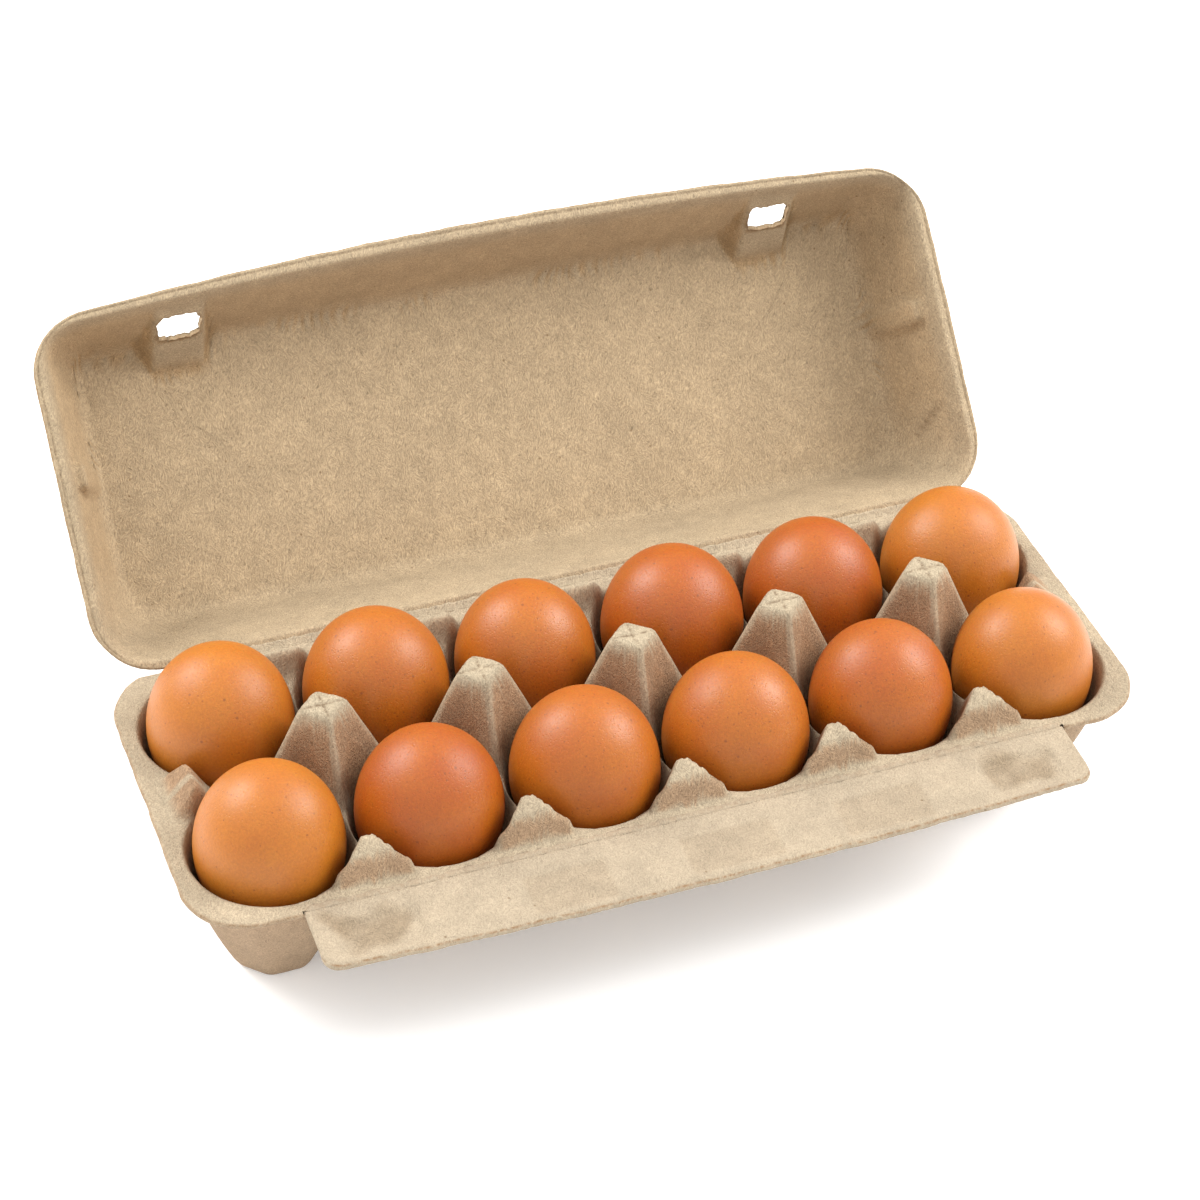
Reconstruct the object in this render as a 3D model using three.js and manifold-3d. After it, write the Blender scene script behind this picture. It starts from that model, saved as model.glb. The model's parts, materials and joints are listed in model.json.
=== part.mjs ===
// An open moulded-pulp egg carton for a dozen, two rows of six, with its eggs in their cups.
// Millimetres, +Z up. X runs along the carton, the lid's hinge is on the +Y side, the closing
// flap on the -Y side, and the cups' feet stand on z = 0.
import * as THREE from "three";
import { mergeVertices } from "three/addons/utils/BufferGeometryUtils.js";
import Module from "manifold-3d";

const wasm = await Module();
wasm.setup();

// Driving dimensions
const columns = 6;
const pitch = 47.5; // from cup to cup along a row
const rowOffset = 25.9; // from the middle of the carton to the axis of a row
const sheet = 1.8; // thickness of the pulp
const gap = 0.3; // clearance between neighbouring pieces

const tray = {
  halfLength: 148.3,
  halfWidth: 55.5,
  corner: 20,
  rim: 41, // top of the rim above the table
  footRadius: 10.6,
  wallFoot: 11.6, // cup radius at the floor, then how it widens with height
  wallFlare: 0.44,
  wallCurve: 0.0029,
  mouthRound: 1.2, // how softly the deck turns down into a cup
  middleDrop: 3, // how far the deck lies below the rim between the rows
  middleFrom: 44, // where it starts to drop, from the middle, and the width of that slope
  middleSlope: 20,
  middleEnd: 138, // where it ends, beside the tray's ends
  hingeSide: 53.7, // where the rim is cut straight along the hinge
  flapSide: 54, // and along the flap's crease
};
const post = { top: 64.8, halfX: 8, halfY: 7, slope: 3.3 };
const frontBump = {
  y: 40.8,
  top: 51.6,
  ridgeY: 46.5,
  ridgeZ: 48.3,
  footY: 50.4,
  halfX: 8.5,
  inner: 2,
  side: 3.2,
};
const backBump = { y: 44.2, top: 48, footY: 49.9, halfX: 6.5, inner: 1.6, side: 3 };
const endBump = { x: 134.5, top: 49.5, footX: 142.2, halfY: 6, inner: 1.8, side: 2.5 };

const hinge = { y: 54, z: tray.rim + gap };
const openAngle = THREE.MathUtils.degToRad(134.4); // 0 is shut

const lid = {
  halfLength: 147.7,
  endDepth: 111, // hinge to free edge beside the corners
  midDepth: 116.2, // hinge to free edge in the middle of the bowed edge
  corner: 20,
  height: 32, // inside, from the rim to the flat top
  endWall: { inset: 4.2, draft: 0.38 },
  hingeWall: { inset: 3.2, draft: 0.4 },
  frontMouth: 111.8, // hinge to the front wall at the rim, in the middle
  frontMouthBow: 3.1, // and how much less beside the flap's ends
  frontFoot: 101, // where the front wall meets the flat top
  mouthCorner: 15,
  footCorner: 3,
  cornerBlend: 40, // how softly two walls meet
  topRound: 4, // and how softly they meet the top
};
const boss = { x: 98.6, u: 107.8, depth: 7, run: 0.628, halfWidth: 8, side: 3.5 };
const slot = { halfX: 6.75, halfRun: 5.3, depth: 15, corner: 1.4, reach: 6 };
const bossFoot = boss.u - boss.run * (lid.height - boss.depth);
const rib = { u: 62.5, halfWidth: 3.2, start: 6, foot: 139.6, draft: 0.3, side: 3 };

const crease = { y: 53.5, z: tray.rim + gap };
const flap = {
  halfLength: 117.5,
  root: 0.8, // from the crease line to where the flap begins
  endWidth: 23.1,
  midWidth: 25.6,
  corner: 5,
  thickness: 1.4,
  creased: 0.9, // thickness along the crease
  creasedWidth: 3,
  droop: 0.045,
  lipWidth: 2,
  lipSlope: 0.3,
};
const button = { x: 98.6, v: 15.4, halfX: 3.6, halfV: 2.6, depth: 5.6, slope: 2.2 };
const dish = { v: 14.3, halfX: 12.5, halfV: 8.2, depth: 1, edge: 3 };

// Each egg's largest radius, the height of its top above the table and its shift along the row
const frontEggs = [
  { radius: 21.7, top: 66.7, shift: -0.2 },
  { radius: 21.6, top: 66.2, shift: -0.3 },
  { radius: 22.1, top: 66.9, shift: 0 },
  { radius: 21.8, top: 66.5, shift: 0.1 },
  { radius: 21.5, top: 66.2, shift: -0.3 },
  { radius: 21.4, top: 65.6, shift: -0.1 },
];
const backEggs = [
  { radius: 21.8, top: 67.7, shift: -0.2 },
  { radius: 21.9, top: 68.2, shift: 0 },
  { radius: 21.3, top: 66.3, shift: -0.2 },
  { radius: 21.9, top: 67.4, shift: 0.2 },
  { radius: 21.7, top: 65.7, shift: 0.1 },
  { radius: 21.9, top: 65.8, shift: 0.1 },
];
const egg = {
  stretch: 1.3, // half its height as a share of its radius
  taper: 0.07,
  inward: 0.3, // its axis' shift towards the middle of the carton
  lean: 1.2, // largest lean, in degrees, and how it changes from egg to egg
  leanStep: 2.4,
  around: 14,
  along: 9,
};

// Where the lines of the flat nets run, beside those that follow the sizes above
const trayLines = {
  rings: [tray.footRadius, 15.5, 20, 24.2], // distances from a cup's axis
  shares: [0.44, 0.62, 0.8, 0.91], // and the most that each is of a spoke's length
  besideBump: 7.5,
  across: [15, 34],
  endX: 8,
  pastEndBump: 1.5,
  pastBackBump: 1.3,
  cornerSteps: 5,
};
const lidLines = {
  frontX: 45,
  lastX: 119,
  hingeX: [80, 40],
  endU: [26, 42, 84],
  besideRib: 2.6,
  besideBoss: 1,
  wallShares: [0, 0.14, 0.3, 0.47, 0.75, 1],
  topInset: 3,
  cornerSteps: 5,
};
const flapLineX = 40;

// The carton is drawn about the middle of its tray, and the group is then moved so that its
// origin is under the middle of the whole open carton.
const originY = 34.9;

const pulp = { roughness: 0.95, metalness: 0 };
const trayPulp = new THREE.MeshStandardMaterial({ color: "#cdb697", ...pulp });
const lidPulp = new THREE.MeshStandardMaterial({ color: "#c4a884", ...pulp });
const flapPulp = new THREE.MeshStandardMaterial({ color: "#d8c4a6", ...pulp });
const shell = new THREE.MeshStandardMaterial({ color: "#cf7c3e", roughness: 0.5, metalness: 0 });

// Minimum and maximum with the corner between the two surfaces rounded over a height of k
function softMin(a, b, k) {
  const h = Math.max(k - Math.abs(a - b), 0) / k;
  return Math.min(a, b) - (h * h * k) / 4;
}
const softMax = (a, b, k) => -softMin(-a, -b, k);

const columnX = (i) => (i - (columns - 1) / 2) * pitch;
const nearestPost = (x) => {
  const last = columns / 2 - 1;
  return Math.max(-last, Math.min(last, Math.round(x / pitch))) * pitch;
};

// A plane's height, moved along its own normal by a thickness
const offset = (height, thick, ...slopes) => height + thick * Math.hypot(1, ...slopes);

// Height of a cup's wall at a distance from its axis: a flat floor, then a wall that flares
// quickly at the foot and slowly at the rim, and runs on up the posts at the rim's slope.
function cupFace(distance, thick) {
  const rise = tray.rim - sheet;
  const mouth = tray.wallFoot + tray.wallFlare * rise - tray.wallCurve * rise * rise;
  const run = tray.wallFlare - 2 * tray.wallCurve * rise;
  if (distance > mouth) return offset(tray.rim + (distance - mouth) / run, thick, 1 / run);
  const under = tray.wallFlare ** 2 - 4 * tray.wallCurve * (distance - tray.wallFoot);
  const z = sheet + (tray.wallFlare - Math.sqrt(under)) / (2 * tray.wallCurve);
  return Math.max(offset(sheet, thick), offset(z, thick, 1 / Math.sqrt(under)));
}

// Height of the tray's upper face: the deck with its posts and bumps, hollowed by the twelve
// cups. With a thickness below zero, its lower face.
function trayFace(x, y, thick = 0) {
  const ax = Math.abs(x);
  const ay = Math.abs(y);
  const dx = Math.abs(x - nearestPost(x));
  const slope = Math.min(Math.max((tray.middleFrom - ay) / tray.middleSlope, 0), 1);
  const middle = ax < tray.middleEnd ? slope : 0;
  const face = (height, ...slopes) => offset(height, thick, ...slopes);
  let z = face(tray.rim - tray.middleDrop * middle);

  const reach = Math.hypot(post.halfX, post.halfY);
  const out = (dx * post.halfY + ay * post.halfX - post.halfX * post.halfY) / reach;
  z = Math.max(z, Math.min(face(post.top), face(post.top - post.slope * out, post.slope)));

  if (y < 0) {
    const { y: crest, top, ridgeY, ridgeZ, footY, halfX, inner, side } = frontBump;
    const slant = (top - ridgeZ) / (ridgeY - crest);
    const front = (ridgeZ - tray.rim) / (footY - ridgeY);
    const bump = Math.min(
      face(top - slant * (ay - crest), slant),
      face(tray.rim + front * (footY - ay), front),
      face(top - inner * (crest - ay), inner),
      face(top - side * (dx - halfX), side),
    );
    z = Math.max(z, bump);
  } else {
    const { y: crest, top, footY, halfX, inner, side } = backBump;
    const slant = (top - tray.rim) / (footY - crest);
    const bump = Math.min(
      face(top - slant * (ay - crest), slant),
      face(top - inner * (crest - ay), inner),
      face(top - side * (dx - halfX), side),
    );
    z = Math.max(z, bump);
  }
  const { x: crest, top, footX, halfY, inner, side } = endBump;
  const slant = (top - tray.rim) / (footX - crest);
  const bump = Math.min(
    face(top - slant * (ax - crest), slant),
    face(top - inner * (crest - ax), inner),
    face(top - side * (ay - halfY), side),
  );
  z = Math.max(z, bump);

  const column = Math.max(0, Math.min(columns - 1, Math.round(x / pitch + (columns - 1) / 2)));
  const cup = cupFace(Math.hypot(x - columnX(column), ay - rowOffset), thick);
  return softMin(z, cup, tray.mouthRound);
}

// Distance from the hinge line to the lid's free edge, which bows outwards in the middle
function lidEdge(x) {
  const t = Math.min(Math.abs(x) / (lid.halfLength - lid.corner), 1);
  return lid.midDepth - (lid.midDepth - lid.endDepth) * t * t;
}

// Distance from the hinge line to the top of the front wall, behind the flat flange
function lidMouth(x) {
  return lid.frontMouth - lid.frontMouthBow * (x / flap.halfLength) ** 2;
}

// Depth of the lid's inner face below its rim plane, u being the distance from the hinge.
// With a thickness above zero, the depth of its outer face.
function lidDepth(x, u, thick = 0) {
  const ax = Math.abs(x);
  const face = (depth, ...slopes) => offset(depth, thick, ...slopes);
  const mouth = lidMouth(x);
  const steep = lid.height / (mouth - lid.frontFoot);
  const front = face((mouth - u) * steep, steep);
  const back = face((u - lid.hingeWall.inset) / lid.hingeWall.draft, 1 / lid.hingeWall.draft);
  const endRun = lid.endWall.draft;
  const end = face((lid.halfLength - lid.endWall.inset - ax) / endRun, 1 / endRun);
  const walls = softMin(softMin(front, back, lid.cornerBlend), end, lid.cornerBlend);
  let d = softMin(walls, face(lid.height), lid.topRound);

  const bossFace = boss.depth + (boss.u - u) / boss.run;
  const bossSide = bossFace + boss.side * (Math.abs(ax - boss.x) - boss.halfWidth);
  const bossOut = face(bossFace, 1 / boss.run);
  d = Math.min(d, Math.max(bossOut, face(bossSide, 1 / boss.run, boss.side)));

  const ribFace = (rib.foot - ax) / rib.draft;
  const beside = rib.side * (Math.abs(u - rib.u) - rib.halfWidth);
  const tip = Math.max(face(rib.start), face(rib.start + beside, rib.side));
  const ridge = Math.max(face(ribFace, 1 / rib.draft), face(ribFace + beside, 1 / rib.draft, rib.side));
  return Math.max(Math.min(d, Math.max(tip, ridge)), face(0));
}

// Distance from the crease to the flap's free edge, which bows outwards in the middle
function flapEdge(x) {
  const t = Math.min(Math.abs(x) / (flap.halfLength - flap.corner), 1);
  return flap.midWidth - (flap.midWidth - flap.endWidth) * t * t;
}

// Depth of the flap's upper face below its crease line, v being the distance from that line.
// With a thickness above zero, the depth of its lower face.
function flapDepth(x, v, thick = 0) {
  const ax = Math.abs(x);
  const dishX = dish.halfX - Math.abs(ax - button.x);
  const inDish = Math.min(dishX, dish.halfV - Math.abs(v - dish.v));
  const hollow = dish.depth * Math.min(Math.max(inDish / dish.edge, 0), 1);
  const lip = flap.lipSlope * Math.max(0, v - flapEdge(x) + flap.lipWidth);
  const { halfX, halfV, depth, slope } = button;
  const outside = Math.max(Math.abs(ax - button.x) - halfX, Math.abs(v - button.v) - halfV);
  const nose = Math.min(offset(depth, thick), offset(depth - slope * outside, thick, slope));
  return gap + flap.droop * v + Math.max(hollow + lip + thick, nose);
}

// Splits the net's four-sided cells, each along the diagonal that lies closer to the face
function splitCells(net, height) {
  const off = (p, q) => {
    const [a, b] = [net.points[p], net.points[q]];
    const between = (height(...a) + height(...b)) / 2;
    return Math.abs(height((a[0] + b[0]) / 2, (a[1] + b[1]) / 2) - between);
  };
  return net.cells.flatMap(([a, b, c, d]) => {
    if (d === undefined) return [[a, b, c]];
    return off(a, c) <= off(b, d) ? [[a, b, c], [a, c, d]] : [[b, c, d], [b, d, a]];
  });
}

// A closed sheet between two height fields over one flat net of cells
function closedSheet(net, upper, lower) {
  const n = net.points.length;
  const at = (f) => net.points.flatMap(([x, y]) => [x, y, f(x, y)]);
  const index = [];
  const edges = new Map();
  for (const [a, b, c] of splitCells(net, upper)) {
    index.push(a, b, c, a + n, c + n, b + n);
    for (const [p, q] of [[a, b], [b, c], [c, a]]) {
      if (!edges.delete(q + "," + p)) edges.set(p + "," + q, [p, q]);
    }
  }
  for (const [p, q] of edges.values()) index.push(p, q + n, q, p, p + n, q + n);
  const made = new THREE.BufferGeometry();
  const position = new Float32Array([...at(upper), ...at(lower)]);
  made.setAttribute("position", new THREE.BufferAttribute(position, 3));
  made.setIndex(index);
  return made;
}

// A flat net over a grid of lines
function gridNet(xs, ys) {
  const points = xs.flatMap((x) => ys.map((y) => [x, y]));
  const cells = [];
  const row = ys.length;
  for (let i = 0; i + 1 < xs.length; i++) {
    for (let j = 0; j + 1 < row; j++) {
      const a = i * row + j;
      cells.push([a, a + row, a + row + 1, a + 1]);
    }
  }
  return { points, cells };
}

// The tray's edge from its end round the corner to the last straight stretch, in one quarter
function trayCorner(side) {
  const { halfLength: a, halfWidth: b, corner: r } = tray;
  const arc = [];
  for (let k = 0; k <= trayLines.cornerSteps; k++) {
    const t = (k * Math.PI) / 2 / trayLines.cornerSteps;
    arc.push([a - r + r * Math.cos(t), b - r + r * Math.sin(t)]);
  }
  if (side < 0) {
    const end = flap.halfLength + gap;
    return [...arc, [end, b], [end, tray.flapSide]];
  }
  const cut = tray.hingeSide;
  const meets = a - r + Math.sqrt(r * r - (cut - b + r) ** 2);
  return [...arc.filter(([, y]) => y < cut), [meets, cut]];
}

// A flat net of rings around every cup's axis, out to the middle lines between the cups or to
// the tray's edge, so that the rings of one cup meet those of the next on shared points.
function cupNet() {
  const points = [];
  const cells = [];
  const found = new Map();
  const add = (x, y) => {
    const key = x.toFixed(3) + "," + y.toFixed(3);
    if (!found.has(key)) found.set(key, points.push([x, y]) - 1);
    return found.get(key);
  };
  const half = pitch / 2;
  const { rings, shares, endX: nearAxis } = trayLines;
  const lastShare = shares.at(-1);
  const foot = half - post.halfX;
  const beside = foot - trayLines.besideBump;
  const innerEdge = [0, beside, foot, half];
  const endX = Math.abs(columnX(0));
  const { x: crest, footX } = endBump;
  const outerXs = [crest, footX, footX + trayLines.pastEndBump, tray.halfLength];
  const outerEdge = [0, nearAxis, ...outerXs.map((x) => x - endX)];
  const [nearY, farY] = trayLines.across;
  for (const side of [-1, 1]) {
    const edge = side < 0 ? tray.flapSide : tray.hingeSide;
    const bump = side < 0 ? frontBump : backBump;
    const ridge = side < 0 ? [bump.y, bump.ridgeY] : [bump.y];
    const beyond = side < 0 ? [] : [bump.footY + trayLines.pastBackBump];
    const across = [0, post.halfY, nearY, rowOffset, farY, ...ridge, bump.footY, ...beyond, edge];
    const inner = [...across.map((y) => [half, y]), [foot, edge], [beside, edge], [0, edge]];
    const end = [
      ...[0, endBump.halfY, nearY, rowOffset].map((y) => [tray.halfLength, y]),
      ...trayCorner(side),
    ].map(([x, y]) => [x - endX, y]);
    if (end.at(-1)[0] > nearAxis) end.push([nearAxis, edge]);
    if (end.at(-1)[0] > 0) end.push([0, edge]);
    for (let i = 0; i < columns; i++) {
      const east = i === columns - 1 ? end : inner;
      const west = (i === 0 ? end : inner).map(([x, y]) => [-x, y]);
      const eastEdge = i === columns - 1 ? outerEdge : innerEdge;
      const westEdge = i === 0 ? outerEdge : innerEdge;
      const border = [
        ...east,
        ...west.reverse().slice(west[0][0] === 0 ? 1 : 0),
        ...westEdge.slice(1, -1).reverse().map((x) => [-x, 0]),
        ...eastEdge.slice(0, -1).map((x) => [x, 0]),
      ];
      const cx = columnX(i);
      const centre = add(cx, side * rowOffset);
      const spokes = border.map(([x, y]) => {
        const dy = y - rowOffset;
        const reach = Math.hypot(x, dy);
        const shared = rings.map((r, k) => Math.min(r, reach * shares[k]) / reach);
        return [...shared, (1 + Math.max(shared.at(-1), lastShare)) / 2, 1].map((s) =>
          add(cx + x * s, side * (rowOffset + dy * s)),
        );
      });
      spokes.forEach((spoke, k) => {
        const next = spokes[(k + 1) % spokes.length];
        const put = (...cell) => cells.push(side > 0 ? cell : cell.reverse());
        put(centre, spoke[0], next[0]);
        for (let r = 0; r + 1 < spoke.length; r++) {
          put(spoke[r], spoke[r + 1], next[r + 1], next[r]);
        }
      });
    }
  }
  return { points, cells };
}

// One ring of the lid's net: along the hinge, down the left end, along the front and up the
// right end, with the same number of points whatever its size.
function lidRing(halfX, near, far, radius) {
  const { x: bx, halfWidth: w } = boss;
  const reach = (lid.frontFoot - bossFoot) / (boss.run * boss.side);
  const { frontX, lastX, hingeX, endU, cornerSteps } = lidLines;
  const halfFront = [frontX, bx - w - reach, bx - w, bx, bx + w, bx + w + reach, lastX];
  const frontXs = [...halfFront.map((x) => -x).reverse(), 0, ...halfFront];
  const halfHinge = [lastX, ...hingeX];
  const hingeXs = [...halfHinge, 0, ...halfHinge.map((x) => -x).reverse()];
  const ribEdge = rib.halfWidth + lidLines.besideRib;
  const ribs = [rib.u - ribEdge, rib.u - rib.halfWidth, rib.u + rib.halfWidth, rib.u + ribEdge];
  const endUs = [endU[0], endU[1], ...ribs, endU[2]];
  const arc = (side, u, from) =>
    Array.from({ length: cornerSteps + 1 }, (_, k) => {
      const a = from + (k * Math.PI) / 2 / cornerSteps;
      return [side * (halfX - radius) + radius * Math.cos(a), radius * Math.sin(a) - u];
    });
  const front = far(halfX - radius) - radius;
  return [
    ...hingeXs.map((x) => [x, -near]),
    ...arc(-1, near + radius, Math.PI / 2),
    ...endUs.map((u) => [-halfX, -u]),
    ...arc(-1, front, Math.PI),
    ...frontXs.map((x) => [x, -far(x)]),
    ...arc(1, front, 1.5 * Math.PI),
    ...endUs.map((u) => [halfX, -u]).reverse(),
    ...arc(1, near + radius, 0),
  ];
}

// The lid's flat net: matching rings from its edge, past the mouth of the walls to their foot,
// and the flat top inside the last ring.
function lidNet() {
  const { halfLength, endWall, hingeWall, height } = lid;
  const mouthX = halfLength - endWall.inset;
  const footX = mouthX - height * endWall.draft;
  const footU = hingeWall.inset + height * hingeWall.draft;
  const bossFront = (x) => {
    const nearBoss = Math.abs(Math.abs(x) - boss.x) < boss.halfWidth + lidLines.besideBoss;
    return nearBoss ? bossFoot : lid.frontFoot;
  };
  const mouth = lidRing(mouthX, hingeWall.inset, lidMouth, lid.mouthCorner);
  const foot = lidRing(footX, footU, bossFront, lid.footCorner);
  const between = (t) =>
    mouth.map(([x, y], k) => [x + (foot[k][0] - x) * t, y + (foot[k][1] - y) * t]);
  const { wallShares, topInset: inset } = lidLines;
  const rings = [
    lidRing(halfLength, gap, lidEdge, lid.corner),
    ...wallShares.map(between),
    lidRing(footX - inset, footU + inset, (x) => bossFront(x) - inset, lid.footCorner / 3),
  ];
  const n = mouth.length;
  const points = rings.flat();
  const cells = [];
  for (let r = 0; r + 1 < rings.length; r++) {
    for (let k = 0; k < n; k++) {
      const a = r * n + k;
      const b = r * n + ((k + 1) % n);
      cells.push([a, b, b + n, a + n]);
    }
  }
  const start = (rings.length - 1) * n;
  const contour = rings.at(-1).map(([x, y]) => new THREE.Vector2(x, y));
  for (const t of THREE.ShapeUtils.triangulateShape(contour, [])) {
    cells.push(t.map((k) => k + start));
  }
  return { points, cells };
}

// Between three.js geometry and manifold-3d solids
function solidOf(geometry) {
  const bare = geometry.clone();
  bare.deleteAttribute("normal");
  bare.deleteAttribute("uv");
  const merged = mergeVertices(bare, 1e-4);
  return new wasm.Manifold(
    new wasm.Mesh({
      numProp: 3,
      vertProperties: merged.attributes.position.array,
      triVerts: new Uint32Array(merged.index.array),
    }),
  );
}
function geometryOf(solid) {
  const mesh = solid.getMesh();
  const made = new THREE.BufferGeometry();
  made.setAttribute("position", new THREE.BufferAttribute(mesh.vertProperties, 3));
  made.setIndex(new THREE.BufferAttribute(mesh.triVerts, 1));
  made.computeVertexNormals();
  return made;
}

// A prism through the whole sheet, to trim its outline or, turned, to punch a window
function prism(shape, low, high, turn = new THREE.Matrix4()) {
  const made = new THREE.ExtrudeGeometry(shape, {
    depth: high - low,
    bevelEnabled: false,
    curveSegments: 7,
  });
  return solidOf(made.translate(0, 0, low).applyMatrix4(turn));
}
function roundedRectangle(x0, x1, y0, y1, r) {
  const s = new THREE.Shape();
  s.absarc(x1 - r, y1 - r, r, 0, Math.PI / 2);
  s.absarc(x0 + r, y1 - r, r, Math.PI / 2, Math.PI);
  s.absarc(x0 + r, y0 + r, r, Math.PI, 1.5 * Math.PI);
  s.absarc(x1 - r, y0 + r, r, 1.5 * Math.PI, 2 * Math.PI);
  return s;
}

function named(name, geometry, material) {
  const mesh = new THREE.Mesh(geometry, material);
  mesh.name = name;
  return mesh;
}

// The tray: one moulded sheet with its cups, posts and bumps
function makeTray() {
  const made = closedSheet(cupNet(), trayFace, (x, y) => trayFace(x, y, -sheet));
  made.computeVertexNormals();
  return made;
}

// The lid, drawn shut about the hinge line: one moulded sheet with its top at the height of
// the lid, punched by the two windows in the bosses.
function makeLid() {
  const outer = (x, y) => lidDepth(x, -y, sheet);
  let made = solidOf(closedSheet(lidNet(), outer, (x, y) => lidDepth(x, -y)));
  for (const side of [-1, 1]) {
    const { halfX: w, halfRun: h, depth, corner } = slot;
    const punch = new THREE.Matrix4().makeRotationX(Math.atan2(1, boss.run));
    const u = boss.u - boss.run * (depth - boss.depth);
    punch.setPosition(side * boss.x, -u, depth);
    const hole = roundedRectangle(-w, w, -h, h, corner);
    made = made.subtract(prism(hole, -slot.reach, slot.reach, punch));
  }
  return geometryOf(made);
}

function flapOutline() {
  const { halfLength: a, endWidth: e, midWidth: m, corner: r, root } = flap;
  const s = new THREE.Shape();
  s.moveTo(a, -root);
  s.lineTo(-a, -root);
  s.absarc(-a + r, -e + r, r, Math.PI, 1.5 * Math.PI);
  s.quadraticCurveTo(0, -2 * m + e, a - r, -e);
  s.absarc(a - r, -e + r, r, 1.5 * Math.PI, 2 * Math.PI);
  return s;
}

// The closing flap, drawn folded out flat from its crease, with its two hollow buttons
function makeFlap() {
  const upper = (x, y) => -flapDepth(x, -y);
  const lower = (x, y) => {
    const t = Math.min(Math.max((-y - flap.root) / flap.creasedWidth, 0), 1);
    return -flapDepth(x, -y, flap.creased + (flap.thickness - flap.creased) * t);
  };
  const base = button.depth / button.slope;
  const halfX = [
    flapLineX, button.x - dish.halfX, button.x - dish.halfX + dish.edge, button.x - button.halfX - base,
    button.x - button.halfX, button.x + button.halfX, button.x + button.halfX + base,
    button.x + dish.halfX - dish.edge, button.x + dish.halfX, flap.halfLength + 1,
  ];
  const xs = [...halfX.map((x) => -x).reverse(), 0, ...halfX];
  const vs = [
    0, flap.root + flap.creasedWidth, dish.v - dish.halfV, dish.v - dish.halfV + dish.edge,
    button.v - button.halfV, button.v + button.halfV, flap.endWidth - flap.lipWidth,
    flap.midWidth - flap.lipWidth, flap.midWidth + 1,
  ];
  const blank = solidOf(closedSheet(gridNet(xs, vs.map((v) => -v).reverse()), upper, lower));
  return geometryOf(blank.intersect(prism(flapOutline(), -3 * button.depth, button.depth)));
}

// An egg, its narrow end down, turned about its own axis and leaning a little
function makeEgg({ radius, top }, lean) {
  const half = radius * egg.stretch;
  const profile = [];
  for (let i = 0; i <= egg.along; i++) {
    const t = -Math.cos((Math.PI * i) / egg.along);
    const r = i % egg.along ? radius * Math.sqrt(1 - t * t) * (1 + egg.taper * t) : 0;
    profile.push(new THREE.Vector2(r, half * t));
  }
  const made = new THREE.LatheGeometry(profile, egg.around).rotateX(Math.PI / 2);
  made.rotateY(THREE.MathUtils.degToRad(lean));
  return made.translate(0, 0, top - half);
}

const carton = new THREE.Group();
carton.position.y = -originY;

carton.add(named("tray", makeTray(), trayPulp));

const lidGroup = new THREE.Group();
lidGroup.position.set(0, hinge.y, hinge.z);
lidGroup.rotation.x = -openAngle;
lidGroup.add(named("lid", makeLid(), lidPulp));
carton.add(lidGroup);

const flapGroup = new THREE.Group();
flapGroup.position.set(0, -crease.y, crease.z);
flapGroup.add(named("flap", makeFlap(), flapPulp));
carton.add(flapGroup);

const rows = [
  ["front", frontEggs, egg.inward - rowOffset],
  ["back", backEggs, rowOffset - egg.inward],
];
for (const [row, eggs, y] of rows) {
  eggs.forEach((size, i) => {
    const lean = egg.lean * Math.sin(egg.leanStep * i + y);
    const mesh = named(`egg_${row}_${i + 1}`, makeEgg(size, lean), shell);
    mesh.position.set(columnX(i) + size.shift, y, 0);
    carton.add(mesh);
  });
}

const root = new THREE.Group();
root.add(carton);
export default root;
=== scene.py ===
"""An open moulded-pulp egg carton with a dozen brown eggs: surfaces, materials and studio.

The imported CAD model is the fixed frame. Shapes are worked out in millimetres in the carton's
own coordinates: X along the rows of eggs, +Y towards the lid, the feet on z = 0 and y = 0
midway between the rows. They become metres in the frame when each mesh is made.
"""
import json
import math
from types import SimpleNamespace as Sizes

import bpy
import numpy as np
from mathutils import Matrix


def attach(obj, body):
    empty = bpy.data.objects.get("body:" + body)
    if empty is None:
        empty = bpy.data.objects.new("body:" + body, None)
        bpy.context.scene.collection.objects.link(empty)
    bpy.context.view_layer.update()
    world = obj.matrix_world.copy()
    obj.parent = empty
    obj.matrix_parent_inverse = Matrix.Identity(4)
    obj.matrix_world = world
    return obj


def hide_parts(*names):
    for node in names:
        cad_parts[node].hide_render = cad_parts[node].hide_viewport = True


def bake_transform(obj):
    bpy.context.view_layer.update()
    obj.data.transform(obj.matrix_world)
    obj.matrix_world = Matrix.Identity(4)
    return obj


bl_info = {
    "name": "Egg Carton With Eggs",
    "version": (1, 0, 0),
    "blender": (4, 5, 0),
    "location": "View3D > Sidebar > Egg carton",
    "description": "Builds a moulded-pulp carton, its eggs and a plain studio round the frame",
    "category": "Object",
}

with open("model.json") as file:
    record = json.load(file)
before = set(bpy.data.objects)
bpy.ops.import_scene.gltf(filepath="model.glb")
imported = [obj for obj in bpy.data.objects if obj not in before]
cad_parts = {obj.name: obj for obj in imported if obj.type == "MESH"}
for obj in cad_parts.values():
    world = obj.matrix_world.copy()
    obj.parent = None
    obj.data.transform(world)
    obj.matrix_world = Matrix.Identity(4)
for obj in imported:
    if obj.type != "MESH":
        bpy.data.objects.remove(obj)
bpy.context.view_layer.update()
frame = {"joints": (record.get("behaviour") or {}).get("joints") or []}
joints = {joint["name"]: joint for joint in frame["joints"]}

MM = 0.001

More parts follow.
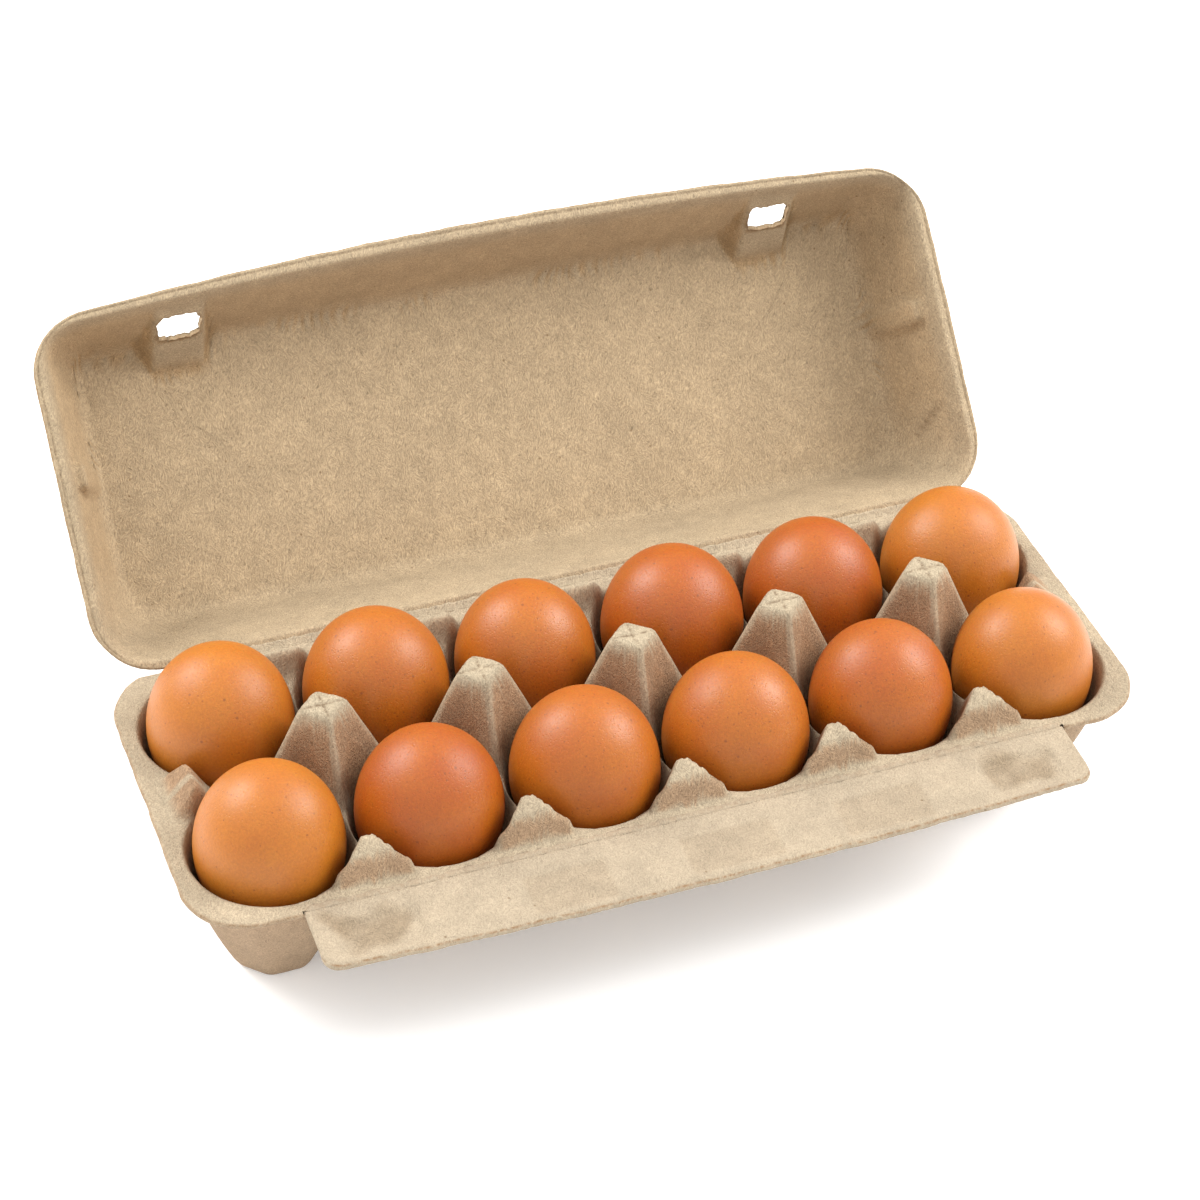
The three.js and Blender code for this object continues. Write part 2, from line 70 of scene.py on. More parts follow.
# Sizes of the tray, the same that its solid has
COLUMNS = 6
PITCH = 47.5
ROW = 25.9
TRAY = Sizes(half_length=148.3, half_width=55.5, corner=20, rim=41, wall_foot=11.6,
             flare=0.44, curve=0.0029, middle_drop=3, hinge_side=53.7, flap_side=54)
POST = Sizes(top=64.8, half_x=8, half_y=7, slope=3.3)
FRONT_BUMP = Sizes(y=40.8, top=51.6, ridge_y=46.5, ridge_z=48.3, foot_y=50.4, half_x=8.5,
                   inner=2, side=3.2)
BACK_BUMP = Sizes(y=44.2, top=48, foot_y=49.9, half_x=6.5, inner=1.6, side=3)
END_BUMP = Sizes(x=134.5, top=49.5, foot_x=142.2, half_y=6, inner=1.8, side=2.5)

# The lid, drawn shut: u is the distance from the hinge and d the depth from its rim plane
HINGE = Sizes(y=54, z=1000 * joints["lid_hinge"]["pos_m"][2])
OPEN = math.radians(joints["lid_hinge"]["range_deg"][1])
LID = Sizes(half_length=147.7, end_depth=111, mid_depth=116.2, corner=20, height=32,
            end_inset=4.2, end_draft=0.38, hinge_inset=3.2, hinge_draft=0.4, mouth=111.8,
            mouth_bow=3.1, front_foot=101, mouth_corner=15, foot_corner=3, blend=40, start=0.3)
BOSS = Sizes(x=98.6, u=107.8, depth=7, run=0.628, half_width=8, side=3.5)
WINDOW = Sizes(half_x=6.75, half_run=5.3, depth=15, power=4.5)
RIB = Sizes(u=62.5, half_width=3.2, start=6, foot=139.6, draft=0.3, side=3)
CORNER_FOLD = Sizes(x=130.5, u=105.5, depth=0.9, half_width=2.2, lip=0.5, lip_at=3.2)
CRACK = Sizes(x=130, from_u=31.4, from_d=8, to_u=23.5, to_d=20.9, half_width=0.9)

# The flap: v is the distance from its crease
CREASE = Sizes(y=53.5, z=1000 * joints["flap_crease"]["pos_m"][2])
FLAP = Sizes(half_length=117.5, root=0.8, end_width=23.1, mid_width=25.6, corner=5,
             creased=0.9, creased_width=3, droop=0.045, lip_width=2, lip_slope=0.3, gap=0.3)
BUTTON = Sizes(x=98.6, v=15.4, half_x=3.6, half_v=2.6, depth=5.6, slope=2.2)
DISH = Sizes(v=14.3, half_x=12.5, half_v=8.2, depth=1, edge=3)

# Random fields: wavelength in millimetres, and the seed that draws their directions
FIELD = Sizes(cap_edge=(5, 8), ridge_edge=(4, 9), tray_swell=(26, 3), deck_swell=(5, 4),
              tray_tear=(15, 6), tray_fray=(4, 7), window_tear=(2.6, 11), window_fray=(1.1, 12),
              pucker=(17, 13), pucker_patch=(60, 14), comb=(13, 19), comb_patch=(21, 20),
              lid_swell=(34, 15), lid_ripple=(7, 16), lid_tear=(17, 17), lid_fray=(4, 18),
              flap_ripple=(9, 21), flap_swell=(40, 22), flap_tear=(14, 23), flap_fray=(3, 24),
              dish_edge=(14, 25), dish_patch=(9, 26))

# Relief and marks, in millimetres: how round the edges are, the creases on the posts' caps
# and the painted highlight along their ridges, the painted shade on the inner faces of the back
# bumps, the play between the shut lid's rim and the tray's, the lid's bead, puckers and comb of
# folds, the flap's pressed fields as middle and half width
EDGE = Sizes(free=0.95, creased=0.3, flap=0.7)
CAP = Sizes(drop=3.4, soft=0.7, crease_x=0.55, crease_y=0.5, dent=0.25, pale_ridge=1.5)
BUMP_INSIDE = Sizes(y=42.6, above_rim=1.5, half_x=8)
PLAY = 0.1
BEAD = Sizes(height=0.22, groove=0.32)
PUCKER = Sizes(pitch=3.3, height=0.2, comb_pitch=3.4, comb_height=0.4)
FIELDS = ((-44, 13), (5, 15), (52.5, 14.5))
FIELD_DEPTH = 0.28

# Radius, height of the top above the table, shift along the row, tone from pale to deep,
# amount of speckle
FRONT_EGGS = ((21.7, 66.7, -0.2, 0.05, 0.25), (21.6, 66.2, -0.3, 0.85, 0.45),
              (22.1, 66.9, 0.0, 0.55, 0.40), (21.8, 66.5, 0.1, 0.50, 0.50),
              (21.5, 66.2, -0.3, 0.75, 1.00), (21.4, 65.6, -0.1, 0.15, 0.30))
BACK_EGGS = ((21.8, 67.7, -0.2, 0.10, 0.25), (21.9, 68.2, 0.0, 0.40, 0.50),
             (21.3, 66.3, -0.2, 0.50, 0.55), (21.9, 67.4, 0.2, 0.85, 0.35),
             (21.7, 65.7, 0.1, 0.85, 0.40), (21.9, 65.8, 0.1, 0.05, 0.35))
EGG = Sizes(stretch=1.3, taper=0.07, inward=0.3, lean=1.2, around=72, along=48)

# The frame's origin lies this far in front of the middle of the carton
ORIGIN_Y = HINGE.y - 1000 * joints["lid_hinge"]["pos_m"][1]


def to_frame(points):
    """Carton millimetres to metres in the frame."""
    return (points - np.array([0, ORIGIN_Y, 0])) * MM


def smooth_step(t):
    """0 below 0, 1 above 1 and 3t^2 - 2t^3 between."""
    t = np.clip(t, 0, 1)
    return t * t * (3 - 2 * t)


def soft_min(a, b, k):
    """The smaller of two heights, with their meeting line rounded over a height of k."""
    h = np.maximum(k - np.abs(a - b), 0) / k
    return np.minimum(a, b) - h * h * k / 4


def soft_max(a, b, k):
    """The larger of two heights, rounded in the same way."""
    return -soft_min(-a, -b, k)


def offset(height, thick, *slopes):
    """A plane's height after the plane moves by a thickness along its own normal."""
    return height + thick * np.sqrt(1 + sum(np.square(s) for s in slopes))


def waves(x, y, size, seed, count=9):
    """A smooth random field of about -1 to 1: a sum of plane waves of like wavelength, each
    with a drawn direction and phase."""
    draw = np.random.default_rng(seed)
    total = 0
    for turn, stretch, phase in draw.random((count, 3)):
        turn, length = 2 * math.pi * turn, size * (0.7 + 0.8 * stretch)
        along = x * math.cos(turn) + y * math.sin(turn)
        total = total + np.sin(2 * math.pi * (along / length + phase))
    return total / math.sqrt(count)


def peak(distance, width):
    """A bell of height 1 and the given half width."""
    return np.exp(-np.square(distance / width))


def round_edge(upper, lower, inside, radius):
    """Two skins that meet at the edge as a half circle does; inside is the way to the edge."""
    full = np.sqrt(np.maximum(1 - np.square(1 - np.minimum(inside / radius, 1)), 0))
    middle = (upper + lower) / 2
    return middle + (upper - middle) * full, middle + (lower - middle) * full


def tear(x, y, slow, fast, even=0.6, slow_share=0.4, fast_share=0.15):
    """How deep an edge is torn, 0 to 2: an even share, a slow wander and a fast one."""
    wander = slow_share * waves(x, y, *slow) + fast_share * waves(x, y, *fast)
    return np.clip(even + wander, 0, 2)


def without_doubles(faces):
    """Four-sided faces with any side shrunk to a point turned into triangles. Returns the
    quads and the triangles."""
    same = faces == np.roll(faces, -1, axis=1)
    triangles = []
    for side in range(4):
        kept = [k for k in range(4) if k != side]
        triangles.append(faces[same[:, side] & (same.sum(axis=1) == 1)][:, kept])
    return faces[~same.any(axis=1)], np.concatenate(triangles)


def closed_sheet(upper, lower, faces, rim):
    """Joins two skins over the same net into one closed sheet. Points where rim is true are
    shared by both skins. Returns the points, the faces, each point's partner on the lower
    skin and which points have one of their own."""
    inner = ~rim
    under = np.arange(len(upper))
    under[inner] = len(upper) + np.arange(inner.sum())
    parts = [part for part in without_doubles(faces) if len(part)]
    return (np.concatenate([upper, lower[inner]]), parts + [under[f][:, ::-1] for f in parts],
            under, inner)


def make_piece(name, points, faces, marks, material):
    """Puts points in carton millimetres, lists of face arrays and the named marks of every
    point into a new smooth mesh in the frame."""
    mesh = bpy.data.meshes.new(name)
    mesh.vertices.add(len(points))
    mesh.vertices.foreach_set("co", to_frame(points).astype(np.float32).ravel())
    corners = np.concatenate([f.ravel() for f in faces])
    sides = np.concatenate([np.full(len(f), f.shape[1]) for f in faces])
    mesh.loops.add(len(corners))
    mesh.loops.foreach_set("vertex_index", corners.astype(np.int32))
    mesh.polygons.add(len(sides))
    mesh.polygons.foreach_set("loop_start", (np.cumsum(sides) - sides).astype(np.int32))
    mesh.polygons.foreach_set("use_smooth", np.ones(len(sides), bool))
    for mark, values in marks.items():
        data = mesh.attributes.new(mark, "FLOAT", "POINT").data
        data.foreach_set("value", np.broadcast_to(values, len(points)).astype(np.float32))
    mesh.update(calc_edges=True)
    if mesh.validate(verbose=False):
        raise RuntimeError(f"{name} had faces that are not valid")
    mesh.materials.append(material)
    piece = bpy.data.objects.new(name, mesh)
    bpy.context.scene.collection.objects.link(piece)
    return piece


def both_skins(marks, below, lower_count):
    """Marks of the upper skin followed by one even value each for the lower skin's points."""
    return {mark: np.concatenate([values.ravel(), np.full(lower_count, below[mark])])
            for mark, values in marks.items()}


# The tray


def nearest_post(x):
    """Where along the tray the nearest of the five posts stands."""
    return np.clip(np.round(x / PITCH), -2, 2) * PITCH


def cup_face(distance, thick, sheet):
    """A cup's floor and its wall, which flares quickly at the foot and slowly at the rim and
    runs on up the posts at the rim's slope; distance is from the cup's axis."""
    rise = TRAY.rim - sheet
    mouth = TRAY.wall_foot + TRAY.flare * rise - TRAY.curve * rise * rise
    run = TRAY.flare - 2 * TRAY.curve * rise
    beyond = offset(TRAY.rim + (distance - mouth) / run, thick, 1 / run)
    under = TRAY.flare**2 - 4 * TRAY.curve * (distance - TRAY.wall_foot)
    under = np.maximum(under, run * run)
    wall = sheet + (TRAY.flare - np.sqrt(under)) / (2 * TRAY.curve)
    wall = offset(wall, thick, 1 / np.sqrt(under))
    return np.where(distance > mouth, beyond, soft_max(offset(sheet, thick), wall, 2.4))


def bump_face(ay, dx, bump, thick):
    """A bump between two cups at the rim: a slanted top, a steep inner face, two sides and,
    on the flap's side, a steeper front."""
    ridge_y = getattr(bump, "ridge_y", bump.foot_y)
    ridge_z = getattr(bump, "ridge_z", TRAY.rim)
    slant = (bump.top - ridge_z) / (ridge_y - bump.y)
    made = soft_min(
        offset(bump.top - slant * (ay - bump.y), thick, slant),
        offset(bump.top - bump.inner * (bump.y - ay), thick, bump.inner), 2.2)
    if ridge_y < bump.foot_y:
        front = (ridge_z - TRAY.rim) / (bump.foot_y - ridge_y)
        made = soft_min(made, offset(TRAY.rim + front * (bump.foot_y - ay), thick, front), 1.1)
    flank = offset(bump.top - bump.side * (dx - bump.half_x), thick, bump.side)
    return soft_min(made, flank, 2)


def tray_face(x, y, thick, sheet):
    """Height of one skin of the tray: the deck with its posts and bumps, each a meeting of
    planes with rounded ridges, hollowed by the twelve cups. Also how near the point is to
    the ridge of a cup's mouth, and how high the deck would be with no cups."""
    ax, ay = np.abs(x), np.abs(y)
    dx = np.hypot(x - nearest_post(x), 0.9)
    middle = smooth_step((44 - ay) / 20) * smooth_step((138 - ax) / 5)
    deck = offset(TRAY.rim - TRAY.middle_drop * middle, thick)

    reach = math.hypot(POST.half_x, POST.half_y)
    out = (dx * POST.half_y + np.hypot(ay, 0.9) * POST.half_x - POST.half_x * POST.half_y) / reach
    side = offset(POST.top - POST.slope * out, thick, POST.slope)
    deck = soft_max(deck, soft_min(offset(POST.top, thick), side, 1.9), 1.5)

    front = bump_face(ay, dx, FRONT_BUMP, thick)
    back = bump_face(ay, dx, BACK_BUMP, thick)
    deck = soft_max(deck, np.where(y < 0, front, back), 1.4)
    end = Sizes(y=END_BUMP.x, top=END_BUMP.top, foot_y=END_BUMP.foot_x,
                half_x=END_BUMP.half_y, inner=END_BUMP.inner, side=END_BUMP.side)
    deck = soft_max(deck, bump_face(ax, np.hypot(ay, 0.9), end, thick), 1.4)

    column = np.clip(np.round(x / PITCH + (COLUMNS - 1) / 2), 0, COLUMNS - 1)
    from_x, from_y = x - (column - (COLUMNS - 1) / 2) * PITCH, ay - ROW
    distance = np.hypot(from_x, from_y)
    if thick < 0:
        facet = np.cos(8 * np.arctan2(from_y, from_x)) * smooth_step((distance - 9) / 6)
        distance = distance + 0.4 * facet * smooth_step((26 - distance) / 5)
    cup = cup_face(distance, thick, sheet)
    mouth = np.maximum(1.6 - np.abs(deck - cup), 0) / 1.6
    return soft_min(deck, cup, 1.6), mouth, deck


def outline_distance(x, y):
    """How far a point of the tray lies inside its outline: a rounded rectangle cut straight
    along the hinge and along the flap's crease."""
    qx = np.abs(x) - TRAY.half_length + TRAY.corner
    qy = np.abs(y) - TRAY.half_width + TRAY.corner
    round_box = np.hypot(np.maximum(qx, 0), np.maximum(qy, 0)) + np.minimum(np.maximum(qx, qy), 0)
    inside = np.minimum(TRAY.corner - round_box, TRAY.hinge_side - y)
    by_flap = np.where(np.abs(x) < FLAP.half_length + FLAP.gap, TRAY.flap_side + y, 99)
    return np.maximum(np.minimum(inside, by_flap), 0)


def leg(start, end, steps):
    """Points from one corner to the next, without the last."""
    t = np.arange(steps)[:, None] / steps
    return np.array(start) * (1 - t) + np.array(end) * t


def cell_border(column, side):
    """The border of one cup's cell of the net, anticlockwise from above: the middle lines to
    its neighbours and, where it has none, the tray's outline."""
    half = PITCH / 2
    edge = TRAY.flap_side if side < 0 else TRAY.hinge_side
    centre = (column - (COLUMNS - 1) / 2) * PITCH
    if 0 < column < COLUMNS - 1:
        west, east = centre - half, centre + half
        border = np.concatenate([
            leg((west, 0), (east, 0), 34), leg((east, 0), (east, edge), 36),
            leg((east, edge), (west, edge), 34), leg((west, edge), (west, 0), 36)])
    else:
        a, b, r = TRAY.half_length, TRAY.half_width, TRAY.corner
        west = (COLUMNS - 2) / 2 * PITCH
        stop = math.pi / 2 if side < 0 else math.asin((edge - b + r) / r)
        turn = np.arange(22) / 22 * stop
        arc = np.stack([a - r + r * np.cos(turn), b - r + r * np.sin(turn)], axis=1)
        meets = a - r + r * math.cos(stop)
        if side < 0:
            flap_end = FLAP.half_length + FLAP.gap
            rest = np.concatenate([leg((meets, b), (flap_end, b), 6),
                                   leg((flap_end, b), (flap_end, edge), 2),
                                   leg((flap_end, edge), (west, edge), 18)])
        else:
            rest = leg((meets, edge), (west, edge), 26)
        border = np.concatenate([leg((west, 0), (a, 0), 34), leg((a, 0), (a, b - r), 22),
                                 arc, rest, leg((west, edge), (west, 0), 36)])
        if column == 0:
            border = (border * [-1, 1])[::-1]
    return (border * [1, -1])[::-1] if side < 0 else border


def cup_rings(reach):
    """Distances of the rings from a cup's axis, along spokes of the given reach: close
    together at the foot of the wall, round the mouth and at the border."""
    inner = np.array([0, 3.5, 7, 9.4, 10.4, 11, 11.6, 12.3, 13.3, 14.6, 16, 17.4, 18.8, 20.2,
                      21.5, 22.6, 23.6, 24.4, 25.2])
    reach = reach[:, None]
    last = np.minimum(inner[-1], reach - 4)
    rings = inner - (inner / inner[-1])**3 * (inner[-1] - last)
    between = last + (reach - 3 - last) * np.arange(1, 5) / 5
    return np.concatenate([rings, between, reach - [3, 1.9, 1.1, 0.55, 0.22, 0]], axis=1)


def tray_net():
    """The net of the tray, with the rings of each cup meeting the next cup's on shared points.
    Returns the points and the faces."""
    cells = [(column, side) for side in (-1, 1) for column in range(COLUMNS)]
    grids = []
    for column, side in cells:
        centre = np.array([(column - (COLUMNS - 1) / 2) * PITCH, side * ROW])
        arms = cell_border(column, side) - centre
        reach = np.linalg.norm(arms, axis=1)
        grids.append(centre + arms[:, None] / reach[:, None, None] * cup_rings(reach)[..., None])
    grid = np.stack(grids)
    flat, index = np.unique(grid.reshape(-1, 2).round(3), axis=0, return_inverse=True)
    index = index.reshape(grid.shape[:3])
    near, far = index, np.roll(index, -1, axis=1)
    faces = np.stack([near[..., :-1], near[..., 1:], far[..., 1:], far[..., :-1]], axis=-1)
    return flat, faces.reshape(-1, 4)


def tray_marks(x, y, top, mouth, deck, inside, on_post, crease, free):
    """Pale on the pressed rim and on the posts' caps, where the pale is partly painted light, with
    a painted highlight along the posts' ridges; fuzzy with painted shade on the posts' sides,
    painted shade on the bumps' steep fronts and on the back bumps' inner faces; lined along torn
    edges and, as painted shade, along the mouths; painted shade deep down in the cups."""
    post_x = x - nearest_post(x)
    # Painted shade: the pulp turns darker deep down in the cups
    steep = smooth_step((deck - top - 1) / 4)
    # The posts' sides are fuzzier pulp, and their brown is partly painted shade, as the pale of
    # the caps above them is partly painted light
    post_side = smooth_step((deck - TRAY.rim) / 3) * (1 - on_post) * (np.abs(y) < 18)
    # Painted highlight: a pale band along the posts' ridges, where they catch the light
    from_ridge = np.minimum(np.abs(post_x), np.abs(y)) + 0.35 * waves(x, y, *FIELD.ridge_edge)
    post_ridge = 0.8 * post_side * smooth_step((CAP.pale_ridge - from_ridge) / 0.6)
    # Painted shade: the bumps' steep fronts turn brown, as they face away from the light
    bump_front = (smooth_step((FRONT_BUMP.foot_y + 0.6 + y) / 0.7) * (top > TRAY.rim + 0.5)
                  * smooth_step((-y - FRONT_BUMP.ridge_y + 0.1) / 0.5)
                  * smooth_step((FRONT_BUMP.half_x + 3 - np.abs(post_x)) / 2))
    # Painted shade: the inner faces of the back bumps turn brown
    bump_inner = (0.6 * smooth_step((top - TRAY.rim - BUMP_INSIDE.above_rim) / 2)
                  * peak(y - BUMP_INSIDE.y, 1.2) * peak(post_x, BUMP_INSIDE.half_x))
    rim = smooth_step(inside) * (1 - steep) * (1 - post_side) * (1 - 0.9 * bump_front)
    return {
        "pale": np.clip(on_post + 0.9 * rim + post_ridge, 0, 1),
        "fuzz_and_shade": np.clip(post_side - post_ridge + 0.75 * bump_front + bump_inner, 0, 1),
        # Along the mouths the line is painted shade of the gap round each egg; along torn edges it
        # is the edge's own colour
        "line": np.maximum(0.25 * peak(mouth - 1, 0.4) * (mouth > 0),
                           0.6 * peak(inside - 0.3, 0.3) * free),
        "groove": crease,
        "deep": steep,
    }


def make_tray(shape, material):
    """One moulded sheet: the net lifted to the upper and the lower face, with a rounded torn
    edge, slight waves in the sheet and creased tops on the posts. Where the shut lid rests,
    the waves stay lower than the play between the two rims."""
    sheet = shape.sheet_mm
    flat, faces = tray_net()
    x, y = flat.T
    top, mouth, deck = tray_face(x, y, 0, sheet)
    bottom, _, _ = tray_face(x, y, -sheet, sheet)
    inside = outline_distance(x, y)

    post_x = x - nearest_post(x)
    cap_edge = POST.top - CAP.drop - 0.6 * waves(x, y, *FIELD.cap_edge)
    on_post = smooth_step((top - cap_edge) / CAP.soft)
    crease = np.maximum(peak(post_x, CAP.crease_x), peak(y, CAP.crease_y)) * on_post
    crease = crease * smooth_step((7.5 - np.hypot(post_x, y)) / 2)
    swell = shape.wave_mm * waves(x, y, *FIELD.tray_swell)
    swell = swell * np.minimum(top / 12, 1) * smooth_step(inside / 5)
    swell = swell + 0.09 * waves(x, y, *FIELD.deck_swell) * smooth_step((deck - 44) / 4)
    swell = np.minimum(swell, PLAY + smooth_step((deck - 42) / 3))
    top, bottom = top + swell - CAP.dent * crease, bottom + swell * np.minimum(bottom / 6, 1)

    at_crease = ((np.abs(x) < FLAP.half_length) & (y < 0)) | (y > TRAY.hinge_side - 4)
    top, bottom = round_edge(top, bottom, inside, np.where(at_crease, EDGE.creased, EDGE.free))
    free = np.where(at_crease, 0, 1)
    torn = shape.torn_mm * tear(x, y, FIELD.tray_tear, FIELD.tray_fray) * free
    move_x = -np.sign(x) * torn * smooth_step((np.abs(x) - 140) / 8)
    move_y = -np.sign(y) * torn * smooth_step((np.abs(y) - 49) / 5)
    moved = np.stack([x + move_x, y + move_y], axis=1)
    points, faces, _, inner = closed_sheet(
        np.column_stack([moved, top]), np.column_stack([moved, bottom]), faces, inside < 0.01)

    marks = tray_marks(x, y, top, mouth, deck, inside, on_post, crease, free)
    below = {"pale": 0.25, "fuzz_and_shade": 0.25, "line": 0, "groove": 0, "deep": 0.2}
    marks = both_skins(marks, below, inner.sum())
    piece = make_piece("tray_sheet", points, faces, marks, material)
    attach(piece, "tray")
    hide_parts("tray")


# The lid


def lid_to_carton(x, u, d):
    """The lid's own x, u and d at the open angle of rest."""
    cos, sin = math.cos(OPEN), math.sin(OPEN)
    return np.stack([x, HINGE.y - u * cos + d * sin, HINGE.z + u * sin + d * cos], axis=-1)


def lid_edge(x):
    """Hinge to free edge: a parabola between the corners."""
    t = np.minimum(np.abs(x) / (LID.half_length - LID.corner), 1)
    return LID.mid_depth - (LID.mid_depth - LID.end_depth) * t * t


def lid_mouth(x):
    """Hinge to the top of the front wall: a parabola between the flap's ends."""
    return LID.mouth - LID.mouth_bow * np.square(x / FLAP.half_length)


BOSS_FOOT = BOSS.u - BOSS.run * (LID.height - BOSS.depth)
WINDOW_U = BOSS.u - BOSS.run * (WINDOW.depth - BOSS.depth)
WINDOW_HALF_U = WINDOW.half_run * BOSS.run / math.hypot(BOSS.run, 1)


def lid_depth(x, u, thick):
    """Depth of one skin of the lid: the meeting of its four sloping walls with the flat top,
    the two bosses that stand in the front wall and the rib in each end."""
    ax = np.abs(x)
    mouth = lid_mouth(x)
    steep = LID.height / (mouth - LID.front_foot)
    front = offset((mouth - u) * steep, thick, steep)
    back = offset((u - LID.hinge_inset) / LID.hinge_draft, thick, 1 / LID.hinge_draft)
    end = offset((LID.half_length - LID.end_inset - ax) / LID.end_draft, thick, 1 / LID.end_draft)
    walls = soft_min(soft_min(front, back, LID.blend), end, LID.blend)
    depth = soft_min(walls, offset(LID.height, thick), 7)

    face = BOSS.depth + (BOSS.u - u) / BOSS.run
    side = face + BOSS.side * (np.hypot(ax - BOSS.x, 0.8) - BOSS.half_width)
    boss = soft_max(offset(face, thick, 1 / BOSS.run),
                    offset(side, thick, 1 / BOSS.run, BOSS.side), 2.5)
    depth = soft_min(depth, boss, 2)

    wall = (RIB.foot - ax) / RIB.draft
    beside = RIB.side * (np.hypot(u - RIB.u, 0.8) - RIB.half_width)
    tip = soft_max(offset(RIB.start, thick), offset(RIB.start + beside, thick, RIB.side), 1.5)
    ridge = soft_max(offset(wall, thick, 1 / RIB.draft),
                     offset(wall + beside, thick, 1 / RIB.draft, RIB.side), 1.8)
    depth = soft_min(depth, soft_max(tip, ridge, 1.8), 1.4)
    return soft_max(depth, offset(0, thick), 1.6)


def both_ways(values):
    """Stations on both sides of the middle, which is one of them."""
    return np.concatenate([-values[:0:-1], values])


def lid_ring(half_x, near, far, radius):
    """One ring of the lid's net, anticlockwise seen on the lid drawn shut: along the hinge to
    the left, down the left end, along the front and up the right end."""
    inner_x = np.concatenate([
        np.arange(0, 83.5, 1.05), np.linspace(84, BOSS.x - WINDOW.half_x, 8),
        np.linspace(BOSS.x - WINDOW.half_x, BOSS.x + WINDOW.half_x, 13)[1:],
        np.linspace(BOSS.x + WINDOW.half_x, 113, 8)[1:]])
    straight = half_x - radius
    xs = both_ways(np.concatenate([inner_x, np.linspace(113, straight, 7)[1:]]))
    far_corner = far(np.array(straight)) - radius
    low, high = near + radius, far_corner
    us = np.concatenate([np.linspace(low, 30, 8)[:-1], np.linspace(30, 84, 39),
                         np.linspace(84, high, 8)[1:]])
    turn = np.arange(1, 12) / 12 * math.pi / 2
    cos, sin = radius * np.cos(turn), radius * np.sin(turn)
    hinge_arc = np.stack([straight + sin, near + radius - cos], axis=1)
    front_arc = np.stack([straight + sin, far_corner + cos], axis=1)
    left, mirror = np.full_like(us, -half_x), np.array([-1, 1])
    return np.concatenate([
        np.stack([xs[::-1], np.full_like(xs, near)], axis=1), hinge_arc * mirror,
        np.stack([left, us], axis=1), (front_arc * mirror)[::-1],
        np.stack([xs, far(xs)], axis=1), front_arc,
        np.stack([-left, us[::-1]], axis=1), hinge_arc[::-1]])


def lid_net():
    """Rings from the lid's edge, over the flat flange and down the walls, then over the flat
    top to the line along its middle. Returns the rings, the share of the flange crossed by
    each, how far each lies past the foot of the walls, and the rows that the windows take.
    Spokes leave the front wall square to it and only then turn towards the middle."""
    mouth_x = LID.half_length - LID.end_inset
    foot_x = mouth_x - LID.height * LID.end_draft
    foot_u = LID.hinge_inset + LID.height * LID.hinge_draft

    def front_foot(x):
        near_boss = smooth_step((13.5 - np.abs(np.abs(x) - BOSS.x)) / 5)
        return LID.front_foot + (BOSS_FOOT - LID.front_foot) * near_boss

    edge = lid_ring(LID.half_length, LID.start, lid_edge, LID.corner)
    mouth = lid_ring(mouth_x, LID.hinge_inset, lid_mouth, LID.mouth_corner)
    foot = lid_ring(foot_x, foot_u, front_foot, LID.foot_corner)
    middle_u = (foot_u + LID.front_foot) / 2
    line = np.stack([foot[:, 0] * 90 / foot_x, np.full(len(foot), middle_u)], axis=1)

    flange = np.array([0, 0.035, 0.09, 0.16, 0.24, 0.32, 0.4, 0.5, 0.62, 0.75, 0.88])
    mouth_u = float(lid_mouth(BOSS.x))
    first = (mouth_u - WINDOW_U - WINDOW_HALF_U) / (mouth_u - BOSS_FOOT)
    last = (mouth_u - WINDOW_U + WINDOW_HALF_U) / (mouth_u - BOSS_FOOT)
    wall = np.concatenate([np.linspace(0, first, 6), np.linspace(first, last, 9)[1:],
                           np.linspace(last, 1, 11)[1:]])
    middle = np.concatenate([[0.03, 0.06, 0.1], np.linspace(0.14, 1, 20)])
    bend = np.array([2, 1])
    rings = np.stack([edge + (mouth - edge) * t for t in flange]
                     + [mouth + (foot - mouth) * t for t in wall]
                     + [foot + (line - foot) * t**bend for t in middle], axis=1)
    crossed = np.concatenate([flange, np.ones(len(wall) + len(middle))])
    # Up the walls the distance from the foot is negative and counts for more, so that the
    # folds end a little way up them
    wall_weight = -LID.height / (LID.front_foot - LID.hinge_inset) * 8
    past = np.linalg.norm(rings - foot[:, None], axis=-1)
    past[:, :len(flange) + len(wall)] *= wall_weight
    rows = (len(flange) + 5, len(flange) + 13)
    return rings, crossed, past, rows


def torn_window(x, u):
    """Pulls the net round each window to its torn outline: a rectangle with its corners
    rounded by a high power and its edge ragged. Returns the moved x and u, how many times a
    window's half size each point lies from its middle, and the pull's share there."""
    beside = np.abs(np.abs(x) - BOSS.x) / WINDOW.half_x
    along = np.abs(u - WINDOW_U) / WINDOW_HALF_U
    grown = np.maximum(np.maximum(beside, along), 1e-3)
    round_off = np.power(beside / grown, WINDOW.power) + np.power(along / grown, WINDOW.power)
    shrink = np.maximum(round_off, 1)**(-1 / WINDOW.power)
    ragged = 1 + 0.06 * waves(x, u, *FIELD.window_tear) + 0.03 * waves(x, u, *FIELD.window_fray)
    fade = np.clip(1 - (grown - 1) / 0.7, 0, 1)
    pull = 1 + (shrink * ragged - 1) * fade
    centre_x = np.sign(x) * BOSS.x
    moved_x = np.where(fade > 0, centre_x + (x - centre_x) * pull, x)
    moved_u = np.where(fade > 0, WINDOW_U + (u - WINDOW_U) * pull, u)
    return moved_x, moved_u, grown, fade


